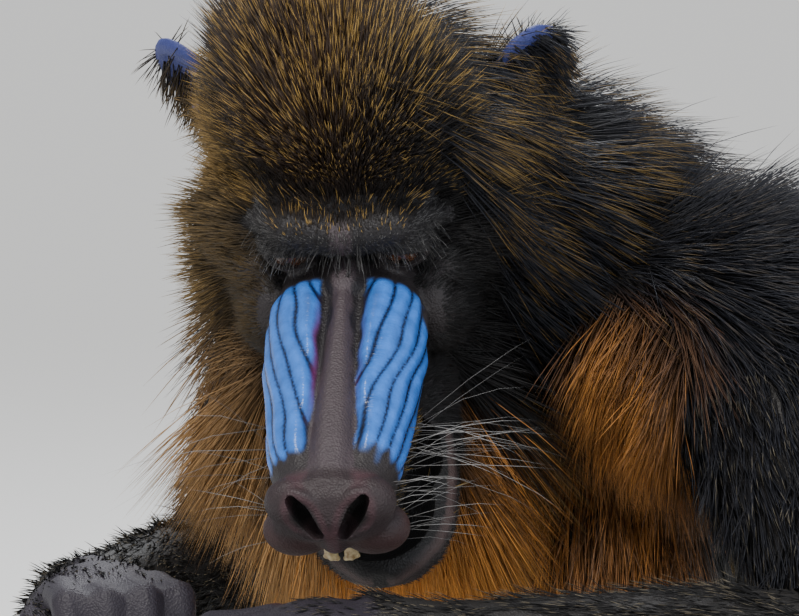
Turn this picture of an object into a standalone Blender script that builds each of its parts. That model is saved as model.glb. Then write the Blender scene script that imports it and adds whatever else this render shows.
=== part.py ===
"""A seated male mandrill, life size, head bowed and both hands held up before the chest.

The animal faces -Y and sits on the floor plane z = 0. All lengths are metres
unless a name ends in _mm. The origin is on the floor under the sitting pads.
"""

import math
import random

import bmesh
import bpy
from mathutils import Matrix, Vector
from mathutils.bvhtree import BVHTree

# Driving dimensions of the body
SHOULDER_HALF_WIDTH = 0.130
SHOULDER_HEIGHT = 0.420
HIP_HALF_WIDTH = 0.085
HIP_HEIGHT = 0.100
PAD_CENTRE_Y = 0.135
PAD_TOP = 0.012
NODE_GAP = 0.0003

# Where the head is held: yaw to the animal's left, bow, and tilt
HEAD_CENTRE = Vector((0.0, -0.142, 0.490))
HEAD_YAW = math.radians(36.0)
HEAD_BOW = math.radians(39.0)
HEAD_ROLL = math.radians(-3.0)

# Fineness of the flesh before it is thinned to flat faces
BODY_VOXEL = 0.0045
HEAD_VOXEL = 0.0017
HAND_VOXEL = 0.0022
BODY_TRIANGLES = 2900
HEAD_TRIANGLES = 3800
HAND_TRIANGLES = 500
FOOT_TRIANGLES = 420
EAR_FLARE = math.radians(50.0)
EAR_TRIANGLES = 220
LARGE_BALL = 0.070
SMALL_BALL = 0.016
BALL_SPACING = 0.35

PARTS = bpy.data.collections.new("mandrill")
CUTTERS = bpy.data.collections.new("cutters")


def clear_scene():
    for old in list(bpy.data.objects):
        bpy.data.objects.remove(old, do_unlink=True)
    bpy.context.scene.collection.children.link(PARTS)
    bpy.context.scene.collection.children.link(CUTTERS)


def finish_material(name, colour, roughness):
    material = bpy.data.materials.new(name)
    material.use_nodes = True
    shader = material.node_tree.nodes["Principled BSDF"]
    shader.inputs["Base Color"].default_value = (*colour, 1.0)
    shader.inputs["Roughness"].default_value = roughness
    shader.inputs["Metallic"].default_value = 0.0
    return material


# Flesh is built from balls and from bones, which are rows of balls between two joints

UNIT_BALLS = {}


def unit_ball(fineness):
    if fineness not in UNIT_BALLS:
        shape = bmesh.new()
        bmesh.ops.create_icosphere(shape, subdivisions=fineness, radius=1.0)
        UNIT_BALLS[fineness] = bpy.data.meshes.new("unit_ball")
        shape.to_mesh(UNIT_BALLS[fineness])
        shape.free()
    return UNIT_BALLS[fineness]


def add_ball(flesh, centre, radii, turn=None):
    place = Matrix.Translation(centre)
    if turn is not None:
        place = place @ turn
    place = place @ Matrix.Diagonal((radii[0], radii[1], radii[2], 1.0))
    fineness = 4 if max(radii) > LARGE_BALL else (3 if max(radii) > SMALL_BALL else 2)
    ball = unit_ball(fineness).copy()
    ball.transform(place)
    flesh.from_mesh(ball)
    bpy.data.meshes.remove(ball)


def add_bone(flesh, start, end, start_radius, end_radius):
    start = Vector(start)
    end = Vector(end)
    span = (end - start).length
    steps = max(2, int(math.ceil(span / (BALL_SPACING * min(start_radius, end_radius)))))
    for step in range(steps + 1):
        share = step / steps
        radius = start_radius + (end_radius - start_radius) * share
        add_ball(flesh, start.lerp(end, share), (radius, radius, radius))


def add_chain(flesh, joints):
    for (start, start_radius), (end, end_radius) in zip(joints, joints[1:]):
        add_bone(flesh, start, end, start_radius, end_radius)


def make_object(name, mesh, collection=PARTS):
    made = bpy.data.objects.new(name, mesh)
    collection.objects.link(made)
    return made


def apply_modifiers(made):
    shape = bpy.context.evaluated_depsgraph_get()
    finished = bpy.data.meshes.new_from_object(made.evaluated_get(shape))
    made.modifiers.clear()
    made.data = finished


def grow_flesh(name, flesh, voxel, smoothing, triangles, matrix=None):
    """Balls fused into one smooth closed skin, then thinned to flat faces."""
    mesh = bpy.data.meshes.new(name)
    flesh.to_mesh(mesh)
    flesh.free()
    if matrix is not None:
        mesh.transform(matrix)
    grown = make_object(name, mesh)
    fuse = grown.modifiers.new("fuse", "REMESH")
    fuse.mode = "VOXEL"
    fuse.voxel_size = voxel
    relax = grown.modifiers.new("relax", "SMOOTH")
    relax.factor = 0.5
    relax.iterations = smoothing
    apply_modifiers(grown)
    if triangles:
        thin(grown, triangles)
    return grown


def thin(made, triangles):
    count = sum(len(face.vertices) - 2 for face in made.data.polygons)
    decimate = made.modifiers.new("thin", "DECIMATE")
    decimate.ratio = min(1.0, triangles / count)
    apply_modifiers(made)


def cut(made, cutter, solver="EXACT"):
    boolean = made.modifiers.new("cut", "BOOLEAN")
    boolean.operation = "DIFFERENCE"
    boolean.object = cutter
    boolean.solver = solver
    apply_modifiers(made)


def make_cutter(name, mesh):
    cutter = make_object(name, mesh, CUTTERS)
    cutter.hide_render = True
    cutter.display_type = "WIRE"
    return cutter


def drop(made):
    bpy.data.objects.remove(made, do_unlink=True)


def slice_plane(made, point, direction):
    """Keep what lies behind a plane, seen along its direction, and close the cut."""
    shape = bmesh.new()
    shape.from_mesh(made.data)
    everything = shape.verts[:] + shape.edges[:] + shape.faces[:]
    bmesh.ops.bisect_plane(shape, geom=everything, dist=1e-6, plane_co=point,
                           plane_no=direction, clear_outer=True)
    open_edges = [edge for edge in shape.edges if edge.is_boundary]
    bmesh.ops.holes_fill(shape, edges=open_edges, sides=0)
    bmesh.ops.triangulate(shape, faces=shape.faces[:])
    bmesh.ops.recalc_face_normals(shape, faces=shape.faces[:])
    shape.to_mesh(made.data)
    shape.free()


def slice_level(made, height, keep_above=True):
    slice_plane(made, Vector((0, 0, height)), Vector((0, 0, -1 if keep_above else 1)))


def joint_disc(name, centre, direction, radius):
    """A cutter as thin as the gap between two nodes, square to the limb."""
    shape = bmesh.new()
    turn = Vector(direction).normalized().to_track_quat("Z", "Y").to_matrix().to_4x4()
    bmesh.ops.create_cone(shape, cap_ends=True, segments=20, radius1=radius, radius2=radius,
                          depth=NODE_GAP, matrix=Matrix.Translation(centre) @ turn)
    mesh = bpy.data.meshes.new(name)
    shape.to_mesh(mesh)
    shape.free()
    return make_cutter(name, mesh)


def loose_pieces(made):
    """Split an object into its closed surfaces, largest first."""
    shape = bmesh.new()
    shape.from_mesh(made.data)
    shape.verts.ensure_lookup_table()
    seen = set()
    groups = []
    for start in shape.verts:
        if start.index in seen:
            continue
        stack = [start]
        seen.add(start.index)
        group = []
        while stack:
            vert = stack.pop()
            group.append(vert.index)
            for edge in vert.link_edges:
                other = edge.other_vert(vert)
                if other.index not in seen:
                    seen.add(other.index)
                    stack.append(other)
        groups.append(set(group))
    groups.sort(key=len, reverse=True)
    pieces = []
    for group in groups:
        piece = shape.copy()
        piece.verts.ensure_lookup_table()
        spare = [vert for vert in piece.verts if vert.index not in group]
        bmesh.ops.delete(piece, geom=spare, context="VERTS")
        mesh = bpy.data.meshes.new("piece")
        piece.to_mesh(mesh)
        piece.free()
        pieces.append(mesh)
    shape.free()
    return pieces


# The body's joints, worked out from the driving dimensions

def side_point(side, x, y, z):
    return Vector((side * x, y, z))


LEFT = 1
RIGHT = -1
SIDE_NAMES = {LEFT: "left", RIGHT: "right"}

SHOULDER = {side: side_point(side, SHOULDER_HALF_WIDTH, 0.005, SHOULDER_HEIGHT) for side in (LEFT, RIGHT)}
ELBOW = {LEFT: Vector((0.270, -0.065, 0.268)), RIGHT: Vector((-0.216, 0.004, 0.250))}
WRIST = {LEFT: Vector((0.124, -0.243, 0.290)), RIGHT: Vector((-0.112, -0.222, 0.280))}
KNUCKLES = {LEFT: Vector((0.082, -0.297, 0.298)), RIGHT: Vector((-0.046, -0.264, 0.298))}
HIP = {side: side_point(side, HIP_HALF_WIDTH, 0.100, HIP_HEIGHT) for side in (LEFT, RIGHT)}
KNEE = {side: side_point(side, 0.205, -0.085, 0.160) for side in (LEFT, RIGHT)}
ANKLE = {side: side_point(side, 0.150, -0.225, 0.045) for side in (LEFT, RIGHT)}
NECK_JOINTS = [((0, 0.030, 0.430), 0.088), ((0, -0.045, 0.462), 0.078), ((-0.018, -0.110, 0.492), 0.066)]
NECK_CUT = Vector((-0.010, -0.080, 0.483))
NECK_CUT_DIRECTION = Vector((-0.100, 0.900, -0.420)).normalized()
NECK_ROOT = Vector((-0.005, -0.052, 0.480))
FOOT_TURN = math.radians(12.0)


def grow_trunk(flesh):
    add_ball(flesh, (0, 0.125, 0.108), (0.108, 0.098, 0.100))
    add_ball(flesh, (0, 0.090, 0.195), (0.100, 0.095, 0.115))
    add_ball(flesh, (0, 0.060, 0.300), (0.116, 0.104, 0.125))
    add_ball(flesh, (0, 0.060, 0.385), (0.120, 0.098, 0.090))
    add_bone(flesh, SHOULDER[RIGHT], SHOULDER[LEFT], 0.062, 0.062)
    add_chain(flesh, NECK_JOINTS)


def grow_mane(flesh):
    """The dense under part of the mane, half way out to the tips of its locks."""
    add_chain(flesh, [((-0.020, -0.100, 0.508), 0.070), ((0, -0.010, 0.474), 0.084), ((0, 0.060, 0.434), 0.092)])
    for side in (LEFT, RIGHT):
        add_ball(flesh, SHOULDER[side] + Vector((-0.012 * side, 0.020, 0.002)), (0.074, 0.070, 0.074))


def grow_tail(flesh):
    add_chain(flesh, [((0, 0.205, 0.130), 0.020), ((0, 0.245, 0.150), 0.016), ((0, 0.262, 0.185), 0.009)])


def grow_arm(flesh, side):
    add_chain(flesh, [(SHOULDER[side], 0.060), (SHOULDER[side].lerp(ELBOW[side], 0.5), 0.051),
                      (ELBOW[side], 0.041)])
    middle = ELBOW[side].lerp(WRIST[side], 0.35)
    add_chain(flesh, [(ELBOW[side], 0.041), (middle, 0.040), (WRIST[side], 0.023)])


def grow_hand(flesh, side):
    """A curled hand: palm, four fingers bent down and in, and the thumb."""
    wrist = WRIST[side]
    along = (KNUCKLES[side] - wrist).normalized()
    across = Vector((0, 0, 1)).cross(along).normalized() * side
    up = along.cross(across).normalized()
    if up.z < 0:
        up = -up
    palm_turn = Matrix((along, across, up)).transposed().to_4x4()
    add_chain(flesh, [(wrist - along * 0.022, 0.023), (wrist + along * 0.020, 0.022)])
    add_ball(flesh, wrist + along * 0.038, (0.036, 0.031, 0.017), palm_turn)
    for finger in range(4):
        spread = (finger - 1.5) * 0.0155
        knuckle = wrist + along * (0.066 - 0.004 * abs(finger - 1.2)) + across * spread
        middle = knuckle + along * 0.030 + across * spread * 0.15 - up * 0.006
        tip = middle - up * 0.024 + along * 0.002
        end = tip - along * 0.016 - up * 0.008
        add_chain(flesh, [(knuckle, 0.0105), (middle, 0.0088), (tip, 0.0080), (end, 0.0068)])
    thumb_root = wrist + along * 0.022 - across * 0.022 * -1.0 - up * 0.004
    thumb_mid = thumb_root + along * 0.028 + across * 0.014 - up * 0.010
    thumb_end = thumb_mid + along * 0.018 - across * 0.004 - up * 0.012
    add_chain(flesh, [(thumb_root, 0.0115), (thumb_mid, 0.0090), (thumb_end, 0.0070)])


def grow_leg(flesh, side):
    middle = HIP[side].lerp(KNEE[side], 0.5)
    add_chain(flesh, [(HIP[side], 0.072), (middle, 0.060), (KNEE[side], 0.045)])
    calf = KNEE[side].lerp(ANKLE[side], 0.35)
    add_chain(flesh, [(KNEE[side], 0.045), (calf, 0.042), (ANKLE[side], 0.026)])


def wrist_cut(side):
    """Where forearm and hand meet, and the direction the hand goes on in."""
    return WRIST[side], (KNUCKLES[side] - WRIST[side]).normalized()


def ankle_cut(side):
    down = (ANKLE[side] - KNEE[side]).normalized()
    return ANKLE[side] - down * 0.024, down


def grow_foot(flesh, side):
    ankle = ANKLE[side]
    ahead = Vector((side * math.sin(FOOT_TURN), -math.cos(FOOT_TURN), 0))
    across = Vector((side * math.cos(FOOT_TURN), math.sin(FOOT_TURN), 0))
    heel = Vector((ankle.x, ankle.y, 0.020)) - ahead * 0.034
    ball_of_foot = heel + ahead * 0.118 + Vector((0, 0, -0.002))
    add_bone(flesh, ankle_cut(side)[0] - ankle_cut(side)[1] * 0.022, ankle, 0.027, 0.026)
    add_bone(flesh, ankle, heel + ahead * 0.016, 0.026, 0.022)
    add_chain(flesh, [(heel, 0.021), (heel + ahead * 0.055, 0.021)])
    for ray in range(4):
        spread = (ray - 1.5) * 0.0135
        instep = heel + ahead * 0.045 + across * spread * 0.6
        knuckle = ball_of_foot + across * spread * 1.25 - ahead * 0.006 * abs(ray - 1.5)
        toe = knuckle + ahead * 0.030 + Vector((0, 0, 0.004)) + across * spread * 0.25
        toe_end = toe + ahead * 0.020 - Vector((0, 0, 0.009))
        add_chain(flesh, [(instep, 0.018), (knuckle, 0.0125), (toe, 0.0095), (toe_end, 0.0080)])
    root = heel + ahead * 0.050 - across * 0.020
    big_toe = root + ahead * 0.040 - across * 0.028 - Vector((0, 0, 0.006))
    add_chain(flesh, [(root, 0.014), (big_toe, 0.0100), (big_toe + ahead * 0.016, 0.0085)])


# The head is laid out in its own frame, in millimetres: side, forward, up

def head_matrix():
    return (Matrix.Translation(HEAD_CENTRE) @ Matrix.Rotation(HEAD_YAW, 4, "Z")
            @ Matrix.Rotation(HEAD_BOW, 4, "X") @ Matrix.Rotation(HEAD_ROLL, 4, "Y"))


def mm(side, forward, up):
    return Vector((side, -forward, up)) * 0.001


def mm_radii(side, forward, up):
    return (side * 0.001, forward * 0.001, up * 0.001)


BROW_HALF_WIDTH_MM = 46
EYE_HALF_SPACING_MM = 27
EYE_RADIUS = 0.0115
SOCKET_CLEARANCE = 0.00038
EYE_FORWARD_MM = 49
EYE_UP_MM = 8
JAW_SHIFT_MM = 16
RING_POINTS = 56
RING_STEP_MM = 2.5

# Muzzle and jaw sections in millimetres: forward, half width, middle height, reach up, reach down
MUZZLE_SECTIONS = ((38, 34, -24, 24, 34), (62, 35, -25, 28, 33), (85, 36, -26, 30, 31), (110, 36, -27, 30, 29),
                   (140, 32.5, -27, 28, 27), (170, 29, -26, 25, 25), (182, 28, -25, 22.5, 23),
                   (190, 28, -24, 21.5, 22), (198, 28.5, -22, 21.5, 20), (205, 24, -21, 17, 16),
                   (210, 13, -20, 9, 9), (212, 6, -20, 4, 4))
JAW_SECTIONS = ((15, 42, -60, 24, 24), (60, 44, -71, 18, 18), (100, 43, -74, 15, 16), (130, 41, -76, 13.5, 15),
                (155, 37, -79, 12, 14), (172, 30, -80, 11, 13), (184, 20, -80, 10, 11), (191, 8, -79, 5, 6))
SWELLING_START_MM = 66
SWELLING_END_MM = 190
SWELLING_HEIGHT_MM = 4.2
RIDGE_DEPTH_MM = 0.9
RIDGES = 3
BRIDGE_HEIGHT_MM = 3.2
GROOVE_DEPTH_MM = 2.6


def section_at(sections, forward):
    """The section between two given ones, eased so that the outline stays smooth."""
    for before, after in zip(sections, sections[1:]):
        if forward <= after[0]:
            share = (forward - before[0]) / (after[0] - before[0])
            return [low + (high - low) * share for low, high in zip(before, after)]
    return list(sections[-1])


def rise(value, start, end):
    share = min(1.0, max(0.0, (value - start) / (end - start)))
    return share * share * (3 - 2 * share)


def muzzle_relief(side_mm, half_width, forward):
    """Height of the bridge, the grooves beside it and the ridged swellings over the muzzle's top."""
    across = abs(side_mm) / half_width
    swelling = rise(forward, SWELLING_START_MM, SWELLING_START_MM + 16)
    swelling *= 1 - rise(forward, SWELLING_END_MM - 22, SWELLING_END_MM)
    bump = math.exp(-((across - 0.68) / 0.26) ** 2)
    ridges = math.cos(2 * math.pi * RIDGES * (across - 0.30) / 0.70) if across > 0.30 else 1.0
    bridge = math.exp(-(side_mm / 6.5) ** 2) * (1 - rise(forward, 170, 205))
    groove = math.exp(-((abs(side_mm) - 9.5) / 3.4) ** 2)
    height = BRIDGE_HEIGHT_MM * bridge - GROOVE_DEPTH_MM * groove * swelling
    return height + swelling * (SWELLING_HEIGHT_MM * bump - RIDGE_DEPTH_MM * ridges * min(1.0, across * 2))


def add_loft(flesh, sections, squareness, relief=None, shift=0.0):
    """A closed skin through rounded box sections that follow one another forwards."""
    first = sections[0][0]
    last = sections[-1][0]
    count = int(round((last - first) / RING_STEP_MM))
    rings = []
    for index in range(count + 1):
        forward = first + (last - first) * index / count
        _, half_width, middle, reach_up, reach_down = section_at(sections, forward)
        ring = []
        for point in range(RING_POINTS):
            angle = 2 * math.pi * point / RING_POINTS
            side_mm = half_width * math.copysign(abs(math.cos(angle)) ** squareness, math.cos(angle))
            reach = reach_up if math.sin(angle) > 0 else reach_down
            up = middle + reach * math.copysign(abs(math.sin(angle)) ** squareness, math.sin(angle))
            if relief and math.sin(angle) > -0.2:
                lift = relief(side_mm, half_width, forward) * rise(math.sin(angle), -0.2, 0.3)
                side_mm += lift * math.cos(angle)
                up += lift * max(0.0, math.sin(angle))
            drift = shift * rise(forward, 40, 190)
            ring.append(flesh.verts.new(mm(side_mm + drift, forward, up)))
        rings.append(ring)
    for ring, onward in zip(rings, rings[1:]):
        for point in range(RING_POINTS):
            beside = (point + 1) % RING_POINTS
            flesh.faces.new((ring[point], ring[beside], onward[beside], onward[point]))
    flesh.faces.new(reversed(rings[0]))
    flesh.faces.new(rings[-1])


def grow_skull(flesh):
    add_ball(flesh, mm(0, -6, 2), mm_radii(56, 66, 50))
    add_bone(flesh, mm(0, -35, -28), mm(0, -70, -50), 0.050, 0.055)
    for side in (LEFT, RIGHT):
        add_ball(flesh, mm(side * 38, 8, -14), mm_radii(26, 40, 42))
        add_chain(flesh, [(mm(side * 46, 44, -14), 0.012), (mm(side * 55, 12, -14), 0.012),
                          (mm(side * 52, -14, -14), 0.014)])
        add_ball(flesh, mm(side * 39, 46, -34), mm_radii(18, 26, 26))
        add_ball(flesh, mm(side * 38, 20, -52), mm_radii(20, 36, 26))
        eye = mm(side * EYE_HALF_SPACING_MM, EYE_FORWARD_MM, EYE_UP_MM)
        add_ball(flesh, eye, mm_radii(15.5, 13.8, 14.5))
    add_chain(flesh, [(mm(-BROW_HALF_WIDTH_MM, 42, 17), 0.0115), (mm(-25, 56, 23), 0.0130),
                      (mm(0, 58, 20), 0.0125), (mm(25, 56, 23), 0.0130), (mm(BROW_HALF_WIDTH_MM, 42, 17), 0.0115)])
    add_ball(flesh, mm(0, 38, 26), mm_radii(46, 22, 18))


def grow_muzzle(flesh):
    add_loft(flesh, MUZZLE_SECTIONS, 0.78, muzzle_relief)
    add_chain(flesh, [(mm(0, 56, -2), 0.0105), (mm(0, 72, -2), 0.0105)])
    add_ball(flesh, mm(0, 190, -36), mm_radii(26, 14, 14))
    add_chain(flesh, [(mm(0, 200, -4), 0.0085), (mm(0, 207, -14), 0.0062), (mm(0, 207, -26), 0.0058),
                      (mm(0, 202, -36), 0.0075)])
    for side in (LEFT, RIGHT):
        add_ball(flesh, mm(side * 18, 194, -38), mm_radii(17, 13, 12.5))
        add_ball(flesh, mm(side * 18, 199, -14), mm_radii(13, 11, 13))


def grow_jaw(flesh):
    add_loft(flesh, JAW_SECTIONS, 0.80, None, JAW_SHIFT_MM)
    add_ball(flesh, mm(0, 36, -62), mm_radii(40, 46, 28))


def grow_head_coat(flesh):
    """The dense under coat of crown, cheeks and throat, half way out to the tips of its locks."""
    add_ball(flesh, mm(0, -18, 26), mm_radii(66, 72, 64))
    add_ball(flesh, mm(0, -62, 4), mm_radii(64, 50, 68))
    for side in (LEFT, RIGHT):
        add_ball(flesh, mm(side * 46, 0, -46), mm_radii(36, 42, 56))
    add_ball(flesh, mm(0, 14, -92), mm_radii(62, 54, 46))


# Locks: flat, tapered strands of coat that overlap along its lie

LOCK_SINK = 0.007
LOCK_TAPER = (1.0, 1.0, 0.82, 0.52)
LOCK_THICKNESS = 0.0042


def make_lock(name, root, direction, normal, bend, length, width, collection):
    """One flat strand: a four-sided strip that narrows to a point and bends along its lie."""
    direction = direction.normalized()
    across = direction.cross(normal).normalized()
    flat = across.cross(direction).normalized()
    shape = bmesh.new()
    rings = []
    steps = len(LOCK_TAPER)
    for step, taper in enumerate(LOCK_TAPER):
        share = step / steps
        reach = -LOCK_SINK + (length + LOCK_SINK) * share
        middle = root + direction * reach + bend * length * share * share
        half_width = width * 0.5 * taper
        half_thickness = LOCK_THICKNESS * 0.5 * (0.5 + 0.5 * taper)
        rings.append([shape.verts.new(middle + across * half_width), shape.verts.new(middle + flat * half_thickness),
                      shape.verts.new(middle - across * half_width), shape.verts.new(middle - flat * half_thickness)])
    tip = shape.verts.new(root + direction * length + bend * length)
    for ring, onward in zip(rings, rings[1:]):
        for corner in range(4):
            beside = (corner + 1) % 4
            shape.faces.new((ring[corner], ring[beside], onward[beside], onward[corner]))
    for corner in range(4):
        shape.faces.new((rings[-1][corner], rings[-1][(corner + 1) % 4], tip))
    shape.faces.new(reversed(rings[0]))
    bmesh.ops.triangulate(shape, faces=shape.faces[:])
    bmesh.ops.recalc_face_normals(shape, faces=shape.faces[:])
    mesh = bpy.data.meshes.new(name)
    shape.to_mesh(mesh)
    shape.free()
    return make_object(name, mesh, collection)


def spread_directions(count):
    """Directions spread evenly over a whole sphere."""
    turn = math.pi * (3 - math.sqrt(5))
    for index in range(count):
        height = 1 - 2 * (index + 0.5) / count
        radius = math.sqrt(1 - height * height)
        yield Vector((radius * math.cos(turn * index), radius * math.sin(turn * index), height))


def surface_tree(made):
    shape = bmesh.new()
    shape.from_mesh(made.data)
    tree = BVHTree.FromBMesh(shape)
    shape.free()
    return tree


def join_locks(made, collection):
    """Fuse every lock of a collection with the node it grows from, then drop the lock objects."""
    union = made.modifiers.new("locks", "BOOLEAN")
    union.operation = "UNION"
    union.operand_type = "COLLECTION"
    union.collection = collection
    union.solver = "EXACT"
    apply_modifiers(made)
    for lock in list(collection.objects):
        drop(lock)
    bpy.data.collections.remove(collection)
    made.data = loose_pieces(made)[0]


LOCK_CLEARANCE = 0.0010


def drop_touching(locks, grown_from):
    """Leave out every lock that comes near a node other than the one it grows from."""
    others = [made for made in PARTS.objects if made != grown_from]
    trees = [surface_tree(made) for made in others]
    corners = [vert.co for made in others for vert in made.data.vertices]
    for lock in list(locks.objects):
        own = surface_tree(lock)
        near = any(tree.find_nearest(vert.co, LOCK_CLEARANCE)[0] for tree in trees for vert in lock.data.vertices)
        near = near or any(own.find_nearest(corner, LOCK_CLEARANCE)[0] for corner in corners)
        if near or any(tree.overlap(own) for tree in trees):
            drop(lock)


def lock_collection(name):
    collection = bpy.data.collections.new(name)
    bpy.context.scene.collection.children.link(collection)
    return collection


HEAD_LOCK_DIRECTIONS = 116
HEAD_LOCK_LENGTH = 0.045
HEAD_LOCK_WIDTH = 0.042


def head_lock_rule(out):
    """Length, and lie in head axes, of the lock that grows in a direction from the skull's middle.

    Nothing grows on the face, under the ears' roots or where the neck joins.
    """
    side, forward, up = out.x, -out.y, out.z
    if forward < -0.72 or (forward > 0.55 and up < 0.62) or forward > 0.80:
        return None
    if up < -0.25 and forward > 0.30 and abs(side) < 0.75:
        return None
    if abs(side) > 0.50 and -0.95 < forward < -0.30 and -0.25 < up < 0.62:
        return None
    back = Vector((0, 1, 0))
    if up > 0.25:
        return 1.05, out * 0.95 + back * (0.35 + 0.3 * up)
    if up > -0.45:
        return 0.95, out * 0.6 + back * 0.45 + Vector((side * 0.55, 0, -0.25))
    return 0.9, out * 0.35 + back * 0.25 + Vector((side * 0.3, 0, -0.6))


def grow_head_locks(head):
    """Crest, cheek ruffs and beard, set on the head's own surface."""
    draw = random.Random(12)
    tree = surface_tree(head)
    turn = head_matrix().to_3x3()
    centre = head_matrix() @ mm(0, -8, -8)
    locks = lock_collection("head_locks")
    for index, out in enumerate(spread_directions(HEAD_LOCK_DIRECTIONS)):
        rule = head_lock_rule(out)
        if rule is None:
            continue
        share, lie = rule
        hit, normal, _, _ = tree.ray_cast(centre + turn @ out * 0.30, turn @ -out)
        if hit is None:
            continue
        length = HEAD_LOCK_LENGTH * share * draw.uniform(0.85, 1.12)
        width = HEAD_LOCK_WIDTH * draw.uniform(0.85, 1.15)
        bend = turn @ Vector((0, 0.12, -0.10)) * draw.uniform(0.6, 1.3)
        make_lock("lock_%03d" % index, hit, turn @ lie, normal, bend, length, width, locks)
    for row, (forward, count, reach) in enumerate(((10, 5, 0.040), (44, 5, 0.046))):
        for place in range(count):
            side_mm = (place - (count - 1) / 2) * 25
            start = head_matrix() @ mm(side_mm, forward, -180)
            hit, normal, _, _ = tree.ray_cast(start, turn @ Vector((0, 0, 1)))
            if hit is None:
                continue
            lie = Vector((0, -0.25, -1.0)) + turn @ Vector((side_mm * 0.010, 0, 0))
            make_lock("beard_%d_%d" % (row, place), hit, lie, turn @ Vector((0, 1, 0)), Vector((0, 0, -0.15)),
                      reach * draw.uniform(0.85, 1.1), 0.030, locks)
    for side in (LEFT, RIGHT):
        tooth = chain_cutter("incisor_" + SIDE_NAMES[side], [
            (mm(side * 4.6, 189, -40), 0.0034), (mm(side * 4.6, 193, -57), 0.0030)])
        CUTTERS.objects.unlink(tooth)
        locks.objects.link(tooth)
    for lock in list(locks.objects):
        reach = max((vert.co - NECK_CUT).dot(NECK_CUT_DIRECTION.normalized()) for vert in lock.data.vertices)
        if reach > -2 * NODE_GAP:
            drop(lock)
    drop_touching(locks, head)
    join_locks(head, locks)


MANE_LENGTH = 0.050
MANE_WIDTH = 0.048
MANE_ROWS = 6
MANE_ROW_LOCKS = 8


def grow_mane_locks(torso):
    """The mane of shoulders and upper back: rows of locks that lie back and down."""
    draw = random.Random(23)
    tree = surface_tree(torso)
    locks = lock_collection("mane_locks")
    for row in range(MANE_ROWS):
        height = 0.290 + row * 0.042
        for place in range(MANE_ROW_LOCKS):
            angle = math.radians(-118 + 236 * (place + 0.5 * (row % 2)) / MANE_ROW_LOCKS)
            out = Vector((math.sin(angle), math.cos(angle), 0))
            centre = Vector((0, 0.040, height))
            hit, normal, _, _ = tree.ray_cast(centre + out * 0.40, -out)
            if hit is None or normal.z < -0.35 or hit.y < -0.030:
                continue
            reach = MANE_LENGTH * (0.75 + 0.3 * rise(height, 0.26, 0.42)) * draw.uniform(0.85, 1.1)
            lie = Vector((0, 0, -1.0)) + normal * 0.55 + out * 0.15
            make_lock("mane_%d_%d" % (row, place), hit, lie, normal, Vector((0, 0, -0.10)),
                      reach, MANE_WIDTH * draw.uniform(0.85, 1.15), locks)
    drop_touching(locks, torso)
    join_locks(torso, locks)


def ball_cutter(name, centre, radii, turn=None):
    shape = bmesh.new()
    add_ball(shape, centre, radii, turn)
    mesh = bpy.data.meshes.new(name)
    shape.to_mesh(mesh)
    mesh.transform(head_matrix())
    shape.free()
    return make_cutter(name, mesh)


def chain_cutter(name, joints):
    shape = bmesh.new()
    add_chain(shape, joints)
    cutter = grow_flesh(name, shape, 0.0015, 2, 900, head_matrix())
    PARTS.objects.unlink(cutter)
    CUTTERS.objects.link(cutter)
    cutter.hide_render = True
    cutter.display_type = "WIRE"
    return cutter


def make_ear(side):
    """A rounded, cupped ear that stands out from the side of the head."""
    shape = bmesh.new()
    lean = Matrix.Rotation(side * -EAR_FLARE, 4, "Z") @ Matrix.Rotation(side * math.radians(10), 4, "Y")
    centre = mm(side * 85, -60, 22)
    add_ball(shape, centre, mm_radii(6.5, 23, 27), lean)
    add_bone(shape, mm(side * 56, -44, 6), mm(side * 76, -53, 15), 0.012, 0.010)
    ear = grow_flesh("ear_" + SIDE_NAMES[side], shape, 0.0015, 3, 1200, head_matrix())
    hollow = centre + lean.to_3x3() @ Vector((side * 0.0055, 0, 0))
    cup = ball_cutter("ear_cup_" + SIDE_NAMES[side], hollow, mm_radii(6.0, 17, 20.5), lean)
    cut(ear, cup)
    thin(ear, EAR_TRIANGLES)
    return ear


def eye_ball(name, side, clearance=0.0):
    """The eyeball, or the cutter for its socket, which is the same ball a little larger."""
    reach = EYE_RADIUS + clearance
    centre = mm(side * EYE_HALF_SPACING_MM, EYE_FORWARD_MM, EYE_UP_MM)
    return ball_cutter(name, centre, (reach, reach, reach))


def make_eye(side):
    eye = eye_ball("eye_" + SIDE_NAMES[side], side)
    CUTTERS.objects.unlink(eye)
    PARTS.objects.link(eye)
    eye.hide_render = False
    eye.display_type = "TEXTURED"
    return eye


def cut_clear(made, neighbour):
    """Cut a piece back to a neighbour, leaving the gap between nodes."""
    grown = make_cutter("clearance", neighbour.data.copy())
    swell = grown.modifiers.new("swell", "DISPLACE")
    swell.strength = NODE_GAP * 1.5
    swell.mid_level = 0.0
    apply_modifiers(grown)
    cut(made, grown)
    drop(grown)
    made.data = loose_pieces(made)[0]


def build_head():
    flesh = bmesh.new()
    grow_skull(flesh)
    grow_muzzle(flesh)
    grow_jaw(flesh)
    grow_head_coat(flesh)
    head = grow_flesh("head", flesh, HEAD_VOXEL, 5, HEAD_TRIANGLES * 2, head_matrix())
    for side in (LEFT, RIGHT):
        opening = mm(side * EYE_HALF_SPACING_MM, EYE_FORWARD_MM + 13, EYE_UP_MM - 2)
        cut(head, ball_cutter("lids_" + SIDE_NAMES[side], opening, mm_radii(12.5, 7.5, 4.6)))
    thin(head, HEAD_TRIANGLES)
    slice_plane(head, NECK_CUT, NECK_CUT_DIRECTION)
    for side in (LEFT, RIGHT):
        name = SIDE_NAMES[side]
        cut(head, eye_ball("socket_" + name, side, SOCKET_CLEARANCE))
        nostril = chain_cutter("nostril_" + name, [
            (mm(side * 16, 213, -8), 0.0040), (mm(side * 11, 213, -15), 0.0054),
            (mm(side * 10, 202, -16), 0.0048)])
        thin(nostril, 240)
        cut(head, nostril)
    head.data = loose_pieces(head)[0]
    return head


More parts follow.
